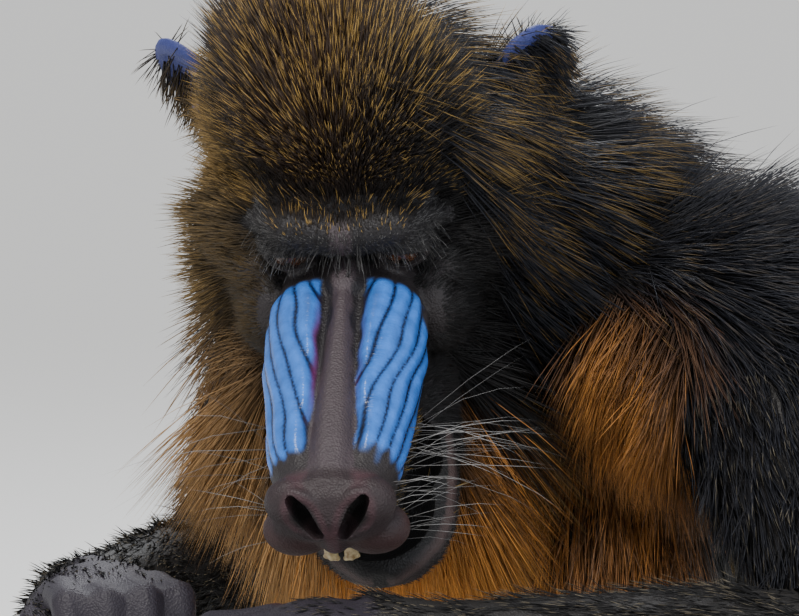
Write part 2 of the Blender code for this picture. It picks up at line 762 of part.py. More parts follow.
def end_drum(name, point, direction, radius, depth):
    """A drum past a limb's end, which takes away what the next node fills."""
    shape = bmesh.new()
    turn = direction.to_track_quat("Z", "Y").to_matrix().to_4x4()
    centre = point + direction * (depth / 2 - NODE_GAP)
    bmesh.ops.create_cone(shape, cap_ends=True, segments=24, radius1=radius, radius2=radius,
                          depth=depth, matrix=Matrix.Translation(centre) @ turn)
    mesh = bpy.data.meshes.new(name)
    shape.to_mesh(mesh)
    shape.free()
    return make_cutter(name, mesh)


def bend_cut(before, at, after, radius):
    """The mitre of a bent joint: centre, direction and reach."""
    first = (at - before).normalized()
    second = (after - at).normalized()
    inward = (second - first).normalized()
    return at + inward * radius * 0.45, (first + second).normalized(), radius * 2.2


WAIST = Vector((0, 0.090, 0.222))


def body_joints():
    """Where the whole body is parted: name, centre, direction and reach of each thin cut."""
    discs = [("neck", NECK_ROOT, NECK_CUT_DIRECTION, 0.145),
             ("waist", WAIST, (0, 0, 1), 0.150),
             ("tail", Vector((0, 0.236, 0.146)), (0, 0.9, 0.45), 0.032)]
    for side in (LEFT, RIGHT):
        name = SIDE_NAMES[side]
        upper = (ELBOW[side] - SHOULDER[side]).normalized()
        discs.append(("shoulder_" + name, SHOULDER[side] + upper * 0.085, upper, 0.075))
        discs.append(("elbow_" + name, *bend_cut(SHOULDER[side], ELBOW[side], WRIST[side], 0.041)))
        thigh = (KNEE[side] - HIP[side]).normalized()
        discs.append(("hip_" + name, HIP[side] + thigh * 0.092, thigh, 0.080))
        discs.append(("knee_" + name, *bend_cut(HIP[side], KNEE[side], ANKLE[side], 0.045)))
    return discs


def body_anchors():
    """A point near the middle of each node of the body, which gives the parted pieces their names."""
    anchors = {"neck": NECK_CUT.lerp(NECK_ROOT, 0.5), "torso": Vector((0, 0.055, 0.350)),
               "hips": Vector((0, 0.110, 0.130)), "tail": Vector((0, 0.240, 0.160))}
    for side in (LEFT, RIGHT):
        name = SIDE_NAMES[side]
        anchors["upper_arm_" + name] = SHOULDER[side].lerp(ELBOW[side], 0.65)
        anchors["forearm_" + name] = ELBOW[side].lerp(WRIST[side], 0.5)
        anchors["thigh_" + name] = HIP[side].lerp(KNEE[side], 0.65)
        anchors["shin_" + name] = KNEE[side].lerp(ANKLE[side], 0.5)
    return anchors


def mesh_middle(mesh):
    total = Vector((0, 0, 0))
    for vert in mesh.vertices:
        total += vert.co
    return total / len(mesh.vertices)


def part_body(body):
    """Part the whole body with thin cuts and name each piece by the anchor it lies at."""
    for name, centre, direction, reach in body_joints():
        disc = joint_disc("cut_" + name, centre, direction, reach)
        cut(body, disc)
    pieces = loose_pieces(body)
    anchors = body_anchors()
    nodes = {}
    for piece in pieces[:len(anchors)]:
        middle = mesh_middle(piece)
        name = min(anchors, key=lambda key: (anchors[key] - middle).length)
        del anchors[name]
        nodes[name] = make_object(name, piece)
    drop(body)
    return nodes


def make_pads():
    """The two bare sitting pads, fused in the male, flat on the floor."""
    shape = bmesh.new()
    add_ball(shape, (0, PAD_CENTRE_Y, 0.010), (0.078, 0.044, 0.016))
    mesh = bpy.data.meshes.new("sitting_pads")
    shape.to_mesh(mesh)
    shape.free()
    pads = make_object("sitting_pads", mesh)
    thin(pads, 160)
    slice_level(pads, 0.0)
    slice_level(pads, PAD_TOP, keep_above=False)
    return pads


def build_body():
    flesh = bmesh.new()
    grow_trunk(flesh)
    grow_mane(flesh)
    grow_tail(flesh)
    for side in (LEFT, RIGHT):
        grow_arm(flesh, side)
        grow_leg(flesh, side)
    body = grow_flesh("body", flesh, BODY_VOXEL, 8, BODY_TRIANGLES)
    slice_level(body, 0.0)
    cut(body, end_drum("neck_end", NECK_CUT, -NECK_CUT_DIRECTION, 0.17, 0.12))
    for side in (LEFT, RIGHT):
        cut(body, end_drum("wrist_end", *wrist_cut(side), 0.034, 0.05))
        cut(body, end_drum("ankle_end", *ankle_cut(side), 0.048, 0.08))
    body.data = loose_pieces(body)[0]
    return part_body(body)


def build_extremities():
    """Hands and feet, each grown finer than the body and cut where the limb meets it."""
    for side in (LEFT, RIGHT):
        hand_flesh = bmesh.new()
        grow_hand(hand_flesh, side)
        hand = grow_flesh("hand_" + SIDE_NAMES[side], hand_flesh, HAND_VOXEL, 3, HAND_TRIANGLES)
        wrist, onward = wrist_cut(side)
        slice_plane(hand, wrist, -onward)
        foot_flesh = bmesh.new()
        grow_foot(foot_flesh, side)
        foot = grow_flesh("foot_" + SIDE_NAMES[side], foot_flesh, HAND_VOXEL, 3, FOOT_TRIANGLES)
        ankle, downward = ankle_cut(side)
        slice_plane(foot, ankle, -downward)
        slice_level(foot, 0.0)


COLOURS = {
    "head": (0.10, 0.085, 0.06), "neck": (0.05, 0.05, 0.055), "torso": (0.05, 0.05, 0.055), "hips": (0.06, 0.055, 0.05),
    "eye": (0.16, 0.07, 0.03), "ear": (0.16, 0.15, 0.22), "sitting_pads": (0.45, 0.25, 0.32),
    "hand": (0.06, 0.055, 0.065), "foot": (0.06, 0.055, 0.065),
}
COAT_COLOUR = (0.075, 0.065, 0.045)


def dress():
    for made in PARTS.objects:
        family = made.name.replace("_left", "").replace("_right", "")
        colour = COLOURS.get(family, COAT_COLOUR)
        made.data.materials.clear()
        made.data.materials.append(finish_material(made.name, colour, 0.35 if family == "eye" else 0.8))


def main():
    clear_scene()
    head = build_head()
    nodes = build_body()
    build_extremities()
    for side in (LEFT, RIGHT):
        ear = make_ear(side)
        cut_clear(ear, head)
        cut_clear(ear, nodes["neck"])
        make_eye(side)
    grow_head_locks(head)
    torso = nodes["torso"]
    grow_mane_locks(torso)
    slice_level(nodes["hips"], PAD_TOP + NODE_GAP)
    make_pads()
    for made in PARTS.objects:
        made.data.transform(Matrix.Translation((0, -PAD_CENTRE_Y, 0)))
    dress()


main()
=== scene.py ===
import math

import bmesh
import bpy
import numpy as np
from mathutils import Matrix, Vector


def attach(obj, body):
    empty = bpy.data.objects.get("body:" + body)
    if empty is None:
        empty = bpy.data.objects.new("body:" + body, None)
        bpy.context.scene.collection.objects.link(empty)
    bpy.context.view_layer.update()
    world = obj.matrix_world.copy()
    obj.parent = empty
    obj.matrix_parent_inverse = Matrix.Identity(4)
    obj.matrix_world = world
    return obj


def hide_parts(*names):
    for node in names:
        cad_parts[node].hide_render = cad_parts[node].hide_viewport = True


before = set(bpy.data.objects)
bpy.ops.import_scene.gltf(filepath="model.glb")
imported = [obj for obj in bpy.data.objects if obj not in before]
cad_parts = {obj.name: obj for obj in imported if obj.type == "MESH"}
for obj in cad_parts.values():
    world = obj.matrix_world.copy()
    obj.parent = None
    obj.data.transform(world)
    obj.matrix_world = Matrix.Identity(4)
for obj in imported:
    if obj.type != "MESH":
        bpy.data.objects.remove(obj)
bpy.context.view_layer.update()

# Camera: a long portrait lens a little above the eyes, on the animal's front left
VIEW_TARGET = Vector((-0.0075, -0.233, 0.4245))
VIEW_AZIMUTH = 40.0
VIEW_ELEVATION = 6.0
VIEW_DISTANCE = 2.0
VIEW_WIDTH = 0.405
SENSOR_WIDTH_MM = 36.0


def adjust(thing, **values):
    for key, value in values.items():
        setattr(thing, key, value)
    return thing


def link(name, data):
    made = bpy.data.objects.new(name, data)
    bpy.context.scene.collection.objects.link(made)
    return made


def place_around(name, data, azimuth, elevation, away):
    """An object that looks at the view's target from the given side. Angles are in degrees."""
    turn = math.radians(azimuth)
    lift = math.radians(elevation)
    towards = Vector((math.sin(turn) * math.cos(lift), -math.cos(turn) * math.cos(lift), math.sin(lift)))
    return adjust(link(name, data), location=VIEW_TARGET + towards * away,
                  rotation_euler=(-towards).to_track_quat("-Z", "Y").to_euler())


lens = adjust(bpy.data.cameras.new("portrait_camera"), sensor_width=SENSOR_WIDTH_MM,
              lens=SENSOR_WIDTH_MM * VIEW_DISTANCE / VIEW_WIDTH, clip_start=0.05, clip_end=60.0)
camera = place_around("portrait_camera", lens, VIEW_AZIMUTH, VIEW_ELEVATION, VIEW_DISTANCE)
bpy.context.scene.camera = camera

# Floor: a plain pale floor that runs out of sight behind the animal
FLOOR_REACH = 90.0
FLOOR_COLOUR = (0.70, 0.70, 0.69, 1.0)


def new_finish(name, **settings):
    """A material, its node tree and its shader, whose inputs are set by name."""
    finish = bpy.data.materials.new(name)
    finish.use_nodes = True
    shader = finish.node_tree.nodes["Principled BSDF"]
    for key, value in settings.items():
        shader.inputs[key.replace("_", " ")].default_value = value
    return finish, finish.node_tree, shader


floor_mesh = bpy.data.meshes.new("floor")
floor_mesh.from_pydata([(-FLOOR_REACH, -FLOOR_REACH, 0), (FLOOR_REACH, -FLOOR_REACH, 0),
                        (FLOOR_REACH, FLOOR_REACH, 0), (-FLOOR_REACH, FLOOR_REACH, 0)], [], [(0, 1, 2, 3)])
floor_mesh.materials.append(new_finish("floor", Base_Color=FLOOR_COLOUR, Roughness=0.85)[0])
floor = link("floor", floor_mesh)

# Light: a broad soft key from the upper left of the picture, a weak fill and a rim from behind
KEY_TURN = math.radians(14)
KEY_DROP = 1.45
WORLD_COLOUR = (0.80, 0.84, 0.90, 1.0)
WORLD_STRENGTH = 0.55
# Name, azimuth, elevation, distance, size, power and colour
LAMPS = (("fill", 88.0, 18.0, 2.4, 1.6, 17.0, (0.88, 0.93, 1.0)),
         ("rim", 215.0, 48.0, 2.2, 0.9, 42.0, (0.95, 0.97, 1.0)))
key_lamp = adjust(bpy.data.lights.new("key", "SUN"), energy=2.9, angle=math.radians(16),
                  color=(1.0, 0.97, 0.93))
key_ray = Vector((-math.sin(KEY_TURN), math.cos(KEY_TURN), -KEY_DROP))
link("key", key_lamp).rotation_euler = key_ray.to_track_quat("-Z", "Y").to_euler()
for name, azimuth, elevation, away, size, power, colour in LAMPS:
    lamp = adjust(bpy.data.lights.new(name, "AREA"), shape="DISK", size=size, energy=power, color=colour)
    place_around(name, lamp, azimuth, elevation, away)
world = bpy.data.worlds.new("studio")
world.use_nodes = True
world.node_tree.nodes["Background"].inputs["Color"].default_value = WORLD_COLOUR
world.node_tree.nodes["Background"].inputs["Strength"].default_value = WORLD_STRENGTH
bpy.context.scene.world = world

# Skin: one closed hide over the whole animal. It lies inside the solids by the depth of the
# coat. It is laid out as balls, bones and lofts, fused, and worked finer on the face.
# The layout below has the animal's hips behind the origin; PAD_CENTRE_Y moves it to the CAD's place.
LEFT = 1
RIGHT = -1
SIDE_NAMES = {LEFT: "left", RIGHT: "right"}
PAD_CENTRE_Y = 0.135
HEAD_CENTRE = Vector((0.0, -0.142, 0.490))
HEAD_YAW = math.radians(36.0)
HEAD_BOW = math.radians(39.0)
HEAD_ROLL = math.radians(-3.0)
SHOULDER = {side: Vector((side * 0.130, 0.005, 0.420)) for side in (LEFT, RIGHT)}
ELBOW = {LEFT: Vector((0.270, -0.065, 0.268)), RIGHT: Vector((-0.216, 0.004, 0.250))}
WRIST = {LEFT: Vector((0.124, -0.243, 0.290)), RIGHT: Vector((-0.112, -0.222, 0.280))}
KNUCKLES = {LEFT: Vector((0.082, -0.297, 0.298)), RIGHT: Vector((-0.046, -0.264, 0.298))}
HIP = {side: Vector((side * 0.085, 0.100, 0.100)) for side in (LEFT, RIGHT)}
KNEE = {side: Vector((side * 0.205, -0.085, 0.160)) for side in (LEFT, RIGHT)}
ANKLE = {side: Vector((side * 0.150, -0.225, 0.045)) for side in (LEFT, RIGHT)}
NECK_JOINTS = [((0, 0.030, 0.430), 0.082), ((0, -0.045, 0.462), 0.072), ((-0.018, -0.110, 0.492), 0.060)]
FOOT_TURN = math.radians(12.0)
COAT_DEPTH = 0.007
BODY_VOXEL = 0.0052
HEAD_VOXEL = 0.00145
HAND_VOXEL = 0.0022
BALL_SPACING = 0.30
UNIT_BALLS = {}


def unit_ball(fineness):
    if fineness not in UNIT_BALLS:
        shape = bmesh.new()
        bmesh.ops.create_icosphere(shape, subdivisions=fineness, radius=1.0)
        UNIT_BALLS[fineness] = bpy.data.meshes.new("unit_ball")
        shape.to_mesh(UNIT_BALLS[fineness])
        shape.free()
    return UNIT_BALLS[fineness]


def add_ball(flesh, centre, radii, turn=None):
    place = Matrix.Translation(centre)
    if turn is not None:
        place = place @ turn
    place = place @ Matrix.Diagonal((radii[0], radii[1], radii[2], 1.0))
    fineness = 4 if max(radii) > 0.030 else 3
    ball = unit_ball(fineness).copy()
    ball.transform(place)
    flesh.from_mesh(ball)
    bpy.data.meshes.remove(ball)


def add_bone(flesh, start, end, start_radius, end_radius):
    start = Vector(start)
    end = Vector(end)
    span = (end - start).length
    steps = max(2, int(math.ceil(span / (BALL_SPACING * min(start_radius, end_radius)))))
    for step in range(steps + 1):
        share = step / steps
        radius = start_radius + (end_radius - start_radius) * share
        add_ball(flesh, start.lerp(end, share), (radius, radius, radius))


def add_chain(flesh, joints, inset=0.0):
    for (start, start_radius), (end, end_radius) in zip(joints, joints[1:]):
        add_bone(flesh, start, end, start_radius - inset, end_radius - inset)


def smooth(mesh):
    for face in mesh.polygons:
        face.use_smooth = True


def drop(made):
    mesh = made.data
    bpy.data.objects.remove(made, do_unlink=True)
    bpy.data.meshes.remove(mesh)


def apply_modifiers(made):
    finished = bpy.data.meshes.new_from_object(made.evaluated_get(bpy.context.evaluated_depsgraph_get()))
    made.modifiers.clear()
    made.data = finished


def fuse(name, flesh, voxel, smoothing, matrix=None):
    mesh = bpy.data.meshes.new(name)
    flesh.to_mesh(mesh)
    flesh.free()
    if matrix is not None:
        mesh.transform(matrix)
    made = link(name, mesh)
    adjust(made.modifiers.new("fuse", "REMESH"), mode="VOXEL", voxel_size=voxel)
    adjust(made.modifiers.new("relax", "SMOOTH"), factor=0.5, iterations=smoothing)
    apply_modifiers(made)
    return made


def combine(made, other, operation):
    adjust(made.modifiers.new("step", "BOOLEAN"), operation=operation, object=other, solver="MANIFOLD")
    apply_modifiers(made)
    drop(other)


TRUNK = (((0, 0.125, 0.108), (0.108, 0.098, 0.100)), ((0, 0.090, 0.195), (0.100, 0.095, 0.115)),
         ((0, 0.060, 0.300), (0.116, 0.104, 0.125)), ((0, 0.060, 0.385), (0.120, 0.098, 0.090)))
TAIL_JOINTS = [((0, 0.205, 0.130), 0.020), ((0, 0.245, 0.150), 0.015), ((0, 0.262, 0.183), 0.009)]
TAIL_DEPTH = 0.003
SHOULDER_RADIUS = 0.062
CHEST_RADIUS = SHOULDER_RADIUS - COAT_DEPTH
# Start, end, where along it the limb is fullest, three radii and the share of the coat's depth
LIMBS = ((SHOULDER, ELBOW, 0.5, (SHOULDER_RADIUS, 0.051, 0.041), 1.0),
         (ELBOW, WRIST, 0.35, (0.041, 0.040, 0.024), 0.7),
         (HIP, KNEE, 0.5, (0.072, 0.060, 0.045), 1.0), (KNEE, ANKLE, 0.35, (0.045, 0.042, 0.027), 0.7))
PAD_CENTRE = (0, PAD_CENTRE_Y, 0.0125)
PAD_RADII = (0.076, 0.043, 0.0165)
body_flesh = bmesh.new()
for centre, radii in TRUNK:
    add_ball(body_flesh, centre, [radius - COAT_DEPTH for radius in radii])
add_bone(body_flesh, SHOULDER[RIGHT], SHOULDER[LEFT], CHEST_RADIUS, CHEST_RADIUS)
add_chain(body_flesh, NECK_JOINTS)
add_chain(body_flesh, TAIL_JOINTS, TAIL_DEPTH)
for side in (LEFT, RIGHT):
    for start, end, fullest, radii, depth in LIMBS:
        joints = (start[side], start[side].lerp(end[side], fullest), end[side])
        add_chain(body_flesh, list(zip(joints, radii)), COAT_DEPTH * depth)
add_ball(body_flesh, PAD_CENTRE, PAD_RADII)
skin = fuse("skin", body_flesh, BODY_VOXEL, smoothing=6)

# Fingers and toes, with their radii from the root to the end
FINGER_SPACING = 0.0155
FINGER_RADII = (0.0098, 0.0084, 0.0090, 0.0078, 0.0082, 0.0068)
THUMB_RADII = (0.0115, 0.0090, 0.0070)
TOE_SPACING = 0.0135
TOE_RADII = (0.018, 0.0120, 0.0092, 0.0078)
BIG_TOE_RADII = (0.014, 0.0100, 0.0085)
UP = Vector((0, 0, 1))


def add_hand(flesh, side):
    """Palm, fingers and thumb. Gives each tip's place, direction, back and radius for the nail."""
    wrist = WRIST[side]
    along = (KNUCKLES[side] - wrist).normalized()
    across = UP.cross(along).normalized() * side
    up = along.cross(across).normalized()
    if up.z < 0:
        up = -up
    palm_turn = Matrix((along, across, up)).transposed().to_4x4()
    add_chain(flesh, [(wrist - along * 0.030, 0.0195), (wrist + along * 0.020, 0.021)])
    add_ball(flesh, wrist + along * 0.038, (0.036, 0.031, 0.017), palm_turn)
    tips = []
    for finger in range(4):
        spread = (finger - 1.5) * FINGER_SPACING
        knuckle = wrist + along * (0.066 - 0.004 * abs(finger - 1.2)) + across * spread
        middle = knuckle + along * 0.030 + across * spread * 0.15 - up * 0.006
        tip = middle - up * 0.024 + along * 0.002
        end = tip - along * 0.016 - up * 0.008
        joints = (knuckle, knuckle.lerp(middle, 0.5), middle, middle.lerp(tip, 0.5), tip, end)
        add_chain(flesh, list(zip(joints, FINGER_RADII)))
        tips.append((end, (end - tip).normalized(), (along - up * 0.4).normalized(), FINGER_RADII[-1]))
    thumb_root = wrist + along * 0.022 + across * 0.022 - up * 0.004
    thumb_mid = thumb_root + along * 0.028 + across * 0.014 - up * 0.010
    thumb_end = thumb_mid + along * 0.018 - across * 0.004 - up * 0.012
    add_chain(flesh, list(zip((thumb_root, thumb_mid, thumb_end), THUMB_RADII)))
    thumb_back = (across * 0.6 + up * 0.6).normalized()
    tips.append((thumb_end, (thumb_end - thumb_mid).normalized(), thumb_back, THUMB_RADII[-1]))
    return tips


def add_foot(flesh, side):
    """Heel, sole and toes. Gives the same for each tip as add_hand."""
    ankle = ANKLE[side]
    ahead = Vector((side * math.sin(FOOT_TURN), -math.cos(FOOT_TURN), 0))
    across = Vector((side * math.cos(FOOT_TURN), math.sin(FOOT_TURN), 0))
    heel = Vector((ankle.x, ankle.y, 0.020)) - ahead * 0.034
    ball_of_foot = heel + ahead * 0.118 + Vector((0, 0, -0.002))
    down = (ankle - KNEE[side]).normalized()
    add_bone(flesh, ankle - down * 0.050, ankle, 0.0235, 0.0245)
    add_bone(flesh, ankle, heel + ahead * 0.016, 0.0245, 0.021)
    add_chain(flesh, [(heel, 0.0205), (heel + ahead * 0.055, 0.0205)])
    tips = []
    for ray in range(4):
        spread = (ray - 1.5) * TOE_SPACING
        instep = heel + ahead * 0.045 + across * spread * 0.6
        knuckle = ball_of_foot + across * spread * 1.25 - ahead * 0.006 * abs(ray - 1.5)
        toe = knuckle + ahead * 0.030 + Vector((0, 0, 0.004)) + across * spread * 0.25
        toe_end = toe + ahead * 0.020 - Vector((0, 0, 0.009))
        add_chain(flesh, list(zip((instep, knuckle, toe, toe_end), TOE_RADII)))
        tips.append((toe_end, (toe_end - toe).normalized(), UP, TOE_RADII[-1]))
    root = heel + ahead * 0.050 - across * 0.020
    big_toe = root + ahead * 0.040 - across * 0.028 - Vector((0, 0, 0.006))
    big_toe_end = big_toe + ahead * 0.016
    add_chain(flesh, list(zip((root, big_toe, big_toe_end), BIG_TOE_RADII)))
    tips.append((big_toe_end, ahead, UP, BIG_TOE_RADII[-1]))
    return tips


nail_places = []
for side in (LEFT, RIGHT):
    for add_end in (add_hand, add_foot):
        end_flesh = bmesh.new()
        nail_places += add_end(end_flesh, side)
        combine(skin, fuse("limb_end", end_flesh, HAND_VOXEL, smoothing=3), "UNION")

# Head skin: laid out in the head's own frame in millimetres: side, forward, up. The muzzle is a loft of
# rounded box sections with a relief of bridge, grooves and fanning ridges. The same frame places lips,
# nostrils, lids, ears and all the markings.
head_place = (Matrix.Translation(HEAD_CENTRE) @ Matrix.Rotation(HEAD_YAW, 4, "Z")
              @ Matrix.Rotation(HEAD_BOW, 4, "X") @ Matrix.Rotation(HEAD_ROLL, 4, "Y"))
RING_POINTS = 240
RING_STEP_MM = 1.0
MUZZLE_SQUARENESS = 0.78
JAW_SQUARENESS = 0.80
# Forward, half width, middle height, reach up and reach down of each section
MUZZLE_SECTIONS = ((38, 34, -24, 24, 34), (62, 35, -25, 28, 33), (85, 36, -26, 30, 31),
                   (110, 36, -27, 30, 29), (140, 32.5, -27, 28, 27), (170, 29, -26, 25, 25),
                   (182, 28, -25, 22.5, 23), (190, 28, -24, 21.5, 22), (198, 28.5, -22, 21.5, 20),
                   (205, 24, -21, 17, 16), (210, 13, -20, 9, 9), (212, 6, -20, 4, 4))
JAW_SECTIONS = ((15, 42, -60, 24, 24), (60, 44, -71, 18, 18), (100, 43, -74, 15, 16),
                (130, 41, -76, 13.5, 15), (155, 37, -79, 12, 14), (172, 30, -80, 11, 13),
                (184, 20, -80, 10, 11), (191, 8, -79, 5, 6))
SWELLING_START_MM = 62
SWELLING_END_MM = 188
SWELLING_HEIGHT_MM = 4.2
RIDGES = 4.4
RIDGE_FAN = 0.62
RIDGE_DEPTH_MM = 2.3
BRIDGE_HEIGHT_MM = 2.6
GROOVE_DEPTH_MM = 2.6
OUTER_ANGLE = 1.58
JAW_SHIFT_MM = 16
JAW_BEND_MM = (40, 190)
EYE_OUT_MM = 27
EYE_FORWARD_MM = 49
EYE_UP_MM = 8
EYE_RADIUS = 0.0115
SOCKET_RADII = (11.8, 11.8, 11.8)
EAR_OUT_MM = 85
EAR_FORWARD_MM = -60
EAR_UP_MM = 22
NOSTRIL_RIM_RADIUS = 0.0031
CUTTER_VOXEL = 0.0008


def mm(side, forward, up):
    return Vector((side, -forward, up)) * 0.001


def mm_radii(side, forward, up):
    return (side * 0.001, forward * 0.001, up * 0.001)


def head_ball(side, forward, up, *radii, turn=None):
    add_ball(head_flesh, mm(side, forward, up), mm_radii(*radii), turn)


def head_chain(*joints):
    """Each joint has its place in millimetres and its radius in metres."""
    add_chain(head_flesh, [(mm(*joint[:3]), joint[3]) for joint in joints])


def rise(value, start, end):
    share = np.clip((value - start) / (end - start), 0.0, 1.0)
    return share * share * (3 - 2 * share)


def fall(value, start, end):
    return 1 - rise(value, start, end)


def section_at(sections, forward):
    places, *measures = np.array(sections, dtype=float).T
    return [np.interp(forward, places, measure) for measure in measures]


def swelling_share(forward):
    return (rise(forward, SWELLING_START_MM, SWELLING_START_MM + 16)
            * fall(forward, SWELLING_END_MM - 20, SWELLING_END_MM))


def bridge_half_width(forward):
    return 4.6 + 5.6 * rise(forward, 70, 182)


def swelling_edge(forward):
    """Half width in mm of the dark strip between the two swellings."""
    return np.maximum(bridge_half_width(forward) + 1.2, 10.4 - 1.2 * rise(forward, 80, 150))


def ridge_profile(side_mm, half_width, forward, angle):
    """1 along the top of a ridge and 0 in the narrow groove beside it. Ridges fan outwards to the eye."""
    inner = (np.minimum((swelling_edge(forward) + 1.0) / half_width, 0.98)) ** 1.28
    around = (angle - inner) / (OUTER_ANGLE - inner)
    fan = RIDGE_FAN * (forward - 125) / 115
    phase = RIDGES * (around + fan) + 0.14 * np.sin(forward * 0.09 + around * 4) + 0.35
    phase = phase + 0.09 * np.sin(forward * 0.17 + around * 7 + np.sign(side_mm) * 1.3)
    return np.abs(np.cos(np.pi * phase)) ** 0.75


def muzzle_relief(side_mm, half_width, forward, angle):
    """Height in mm over the plain section. The angle is 0 on the middle line and pi/2 at the side."""
    share = swelling_share(forward)
    middle = bridge_half_width(forward)
    wide = np.abs(side_mm)
    outer = fall(angle, OUTER_ANGLE - 0.10, OUTER_ANGLE + 0.12)
    edge = swelling_edge(forward)
    raised = rise(wide, edge - 0.4, edge + 3.6) * outer
    ridge = ridge_profile(side_mm, half_width, forward, angle)
    bridge = fall(wide, middle * 0.35, middle) * fall(forward, 176, 204)
    groove = np.exp(-((wide - 0.5 * (middle + edge) - 0.6) / (1.2 + 0.5 * (edge - middle))) ** 2)
    return (BRIDGE_HEIGHT_MM * bridge - GROOVE_DEPTH_MM * groove * share
            + share * raised * (SWELLING_HEIGHT_MM - RIDGE_DEPTH_MM * (1 - ridge)))


def add_loft(flesh, sections, squareness, relief, shift):
    forward_steps = np.arange(sections[0][0], sections[-1][0] + 0.5 * RING_STEP_MM, RING_STEP_MM)
    turn = np.linspace(0, 2 * np.pi, RING_POINTS, endpoint=False)
    rings = []
    for forward in forward_steps:
        half_width, middle, reach_up, reach_down = section_at(sections, forward)
        across = np.cos(turn)
        over = np.sin(turn)
        side_mm = half_width * np.sign(across) * np.abs(across) ** squareness
        reach = np.where(over > 0, reach_up, reach_down)
        up = middle + reach * np.sign(over) * np.abs(over) ** squareness
        if relief:
            angle = np.abs(np.arctan2(np.abs(across), over))
            lift = muzzle_relief(side_mm, half_width, forward, angle) * rise(over, -0.45, 0.0)
            side_mm = side_mm + lift * across
            up = up + lift * np.maximum(over, 0.0)
        drift = shift * float(rise(forward, *JAW_BEND_MM))
        rings.append([flesh.verts.new(mm(a + drift, forward, u)) for a, u in zip(side_mm, up)])
    for ring, onward in zip(rings, rings[1:]):
        for point in range(RING_POINTS):
            beside = (point + 1) % RING_POINTS
            flesh.faces.new((ring[point], ring[beside], onward[beside], onward[point]))
    flesh.faces.new(reversed(rings[0]))
    flesh.faces.new(rings[-1])


def eye_centre(side):
    return mm(side * EYE_OUT_MM, EYE_FORWARD_MM, EYE_UP_MM)


def ear_lean(side):
    return (Matrix.Rotation(side * -math.radians(50), 4, "Z")
            @ Matrix.Rotation(side * math.radians(10), 4, "Y"))


def nostril_rim(side, turn):
    return mm(side * (11.5 + 6.2 * math.sin(turn) + 7.0 * math.cos(turn)), 206.5 - 3.0 * math.sin(turn),
              -14.5 + 10.6 * math.sin(turn) - 3.8 * math.cos(turn))


# Skull, brow, muzzle, jaw, bridge, throat, lip and nose, then what each side has of its own
head_flesh = bmesh.new()
head_ball(0, -14, 14, 58, 66, 60)
add_bone(head_flesh, mm(0, -35, -28), mm(0, -70, -50), 0.050, 0.055)
head_chain((-42, 38, 15, 0.0060), (-25, 56, 24, 0.0095), (0, 58, 20, 0.0095), (25, 56, 24, 0.0095),
           (42, 38, 15, 0.0060))
head_ball(0, 32, 24, 44, 24, 18)
add_loft(head_flesh, MUZZLE_SECTIONS, MUZZLE_SQUARENESS, True, 0)
add_loft(head_flesh, JAW_SECTIONS, JAW_SQUARENESS, False, JAW_SHIFT_MM)
head_ball(0, 36, -62, 40, 46, 28)
head_chain((0, 56, -2, 0.0105), (0, 72, -2, 0.0105))
head_ball(0, 14, -90, 52, 48, 40)
head_ball(0, 190, -36, 26, 14, 14)
head_chain((0, 200, -10, 0.0080), (0, 207, -17, 0.0056), (0, 207, -26, 0.0056), (0, 202, -36, 0.0075))
for side in (LEFT, RIGHT):
    head_ball(side * 38, 8, -14, 26, 40, 42)
    head_chain((side * 46, 44, -14, 0.012), (side * 55, 12, -14, 0.012), (side * 52, -14, -14, 0.014))
    head_ball(side * 39, 46, -34, 18, 26, 26)
    head_ball(side * 38, 20, -52, 20, 36, 26)
    head_ball(side * 42, -2, -46, 32, 38, 50)
    head_ball(side * EYE_OUT_MM, EYE_FORWARD_MM, EYE_UP_MM, 15.5, 13.8, 14.5)
    head_ball(side * 18, 194, -38, 17, 13, 12.5)
    head_ball(side * 18, 199, -14, 13, 11, 13)
    add_chain(head_flesh, [(nostril_rim(side, turn), NOSTRIL_RIM_RADIUS)
                           for turn in np.linspace(0, 2 * math.pi, 17)])
    head_ball(side * EAR_OUT_MM, EAR_FORWARD_MM, EAR_UP_MM, 5.5, 23, 27, turn=ear_lean(side))
    add_bone(head_flesh, mm(side * 44, -38, 0), mm(side * 76, -53, 15), 0.015, 0.010)
head_skin = fuse("head_skin", head_flesh, HEAD_VOXEL, smoothing=3, matrix=head_place)


def carve(name, balls):
    """Cuts a closed shape out of the head. It is made of balls given as centre, radii and turn."""
    shape = bmesh.new()
    for centre, radii, turn in balls:
        add_ball(shape, centre, radii, turn)
    combine(head_skin, fuse(name, shape, CUTTER_VOXEL, smoothing=1, matrix=head_place), "DIFFERENCE")


carve("mouth", [(mm(JAW_SHIFT_MM * 0.9, 155, -66), mm_radii(28, 33, 14), None),
                (mm(JAW_SHIFT_MM * 0.8, 126, -64), mm_radii(32, 34, 13), None)])
for side in (LEFT, RIGHT):
    ear_centre = mm(side * EAR_OUT_MM, EAR_FORWARD_MM, EAR_UP_MM)
    cup = ear_centre + ear_lean(side).to_3x3() @ Vector((side * 0.0055, 0, 0))
    carve("cup", [(cup, mm_radii(6.0, 18, 21.5), ear_lean(side))])
    lids = mm(side * EYE_OUT_MM, EYE_FORWARD_MM + 12.5, EYE_UP_MM - 1.5)
    carve("lids", [(lids, mm_radii(12.5, 7.5, 4.6), None)])
    carve("socket", [(eye_centre(side), mm_radii(*SOCKET_RADII), None)])
    carve("nostril", [(mm(side * (16.5 - 10.5 * t), 205 + 4 * t, -5.5 - 17.5 * t),
                       mm_radii(3.2 + 6.0 * t * (1 - t), 9, 3.6 + 4.4 * t * (1 - t)), None)
                      for t in np.linspace(0, 1, 9)])
combine(skin, head_skin, "UNION")

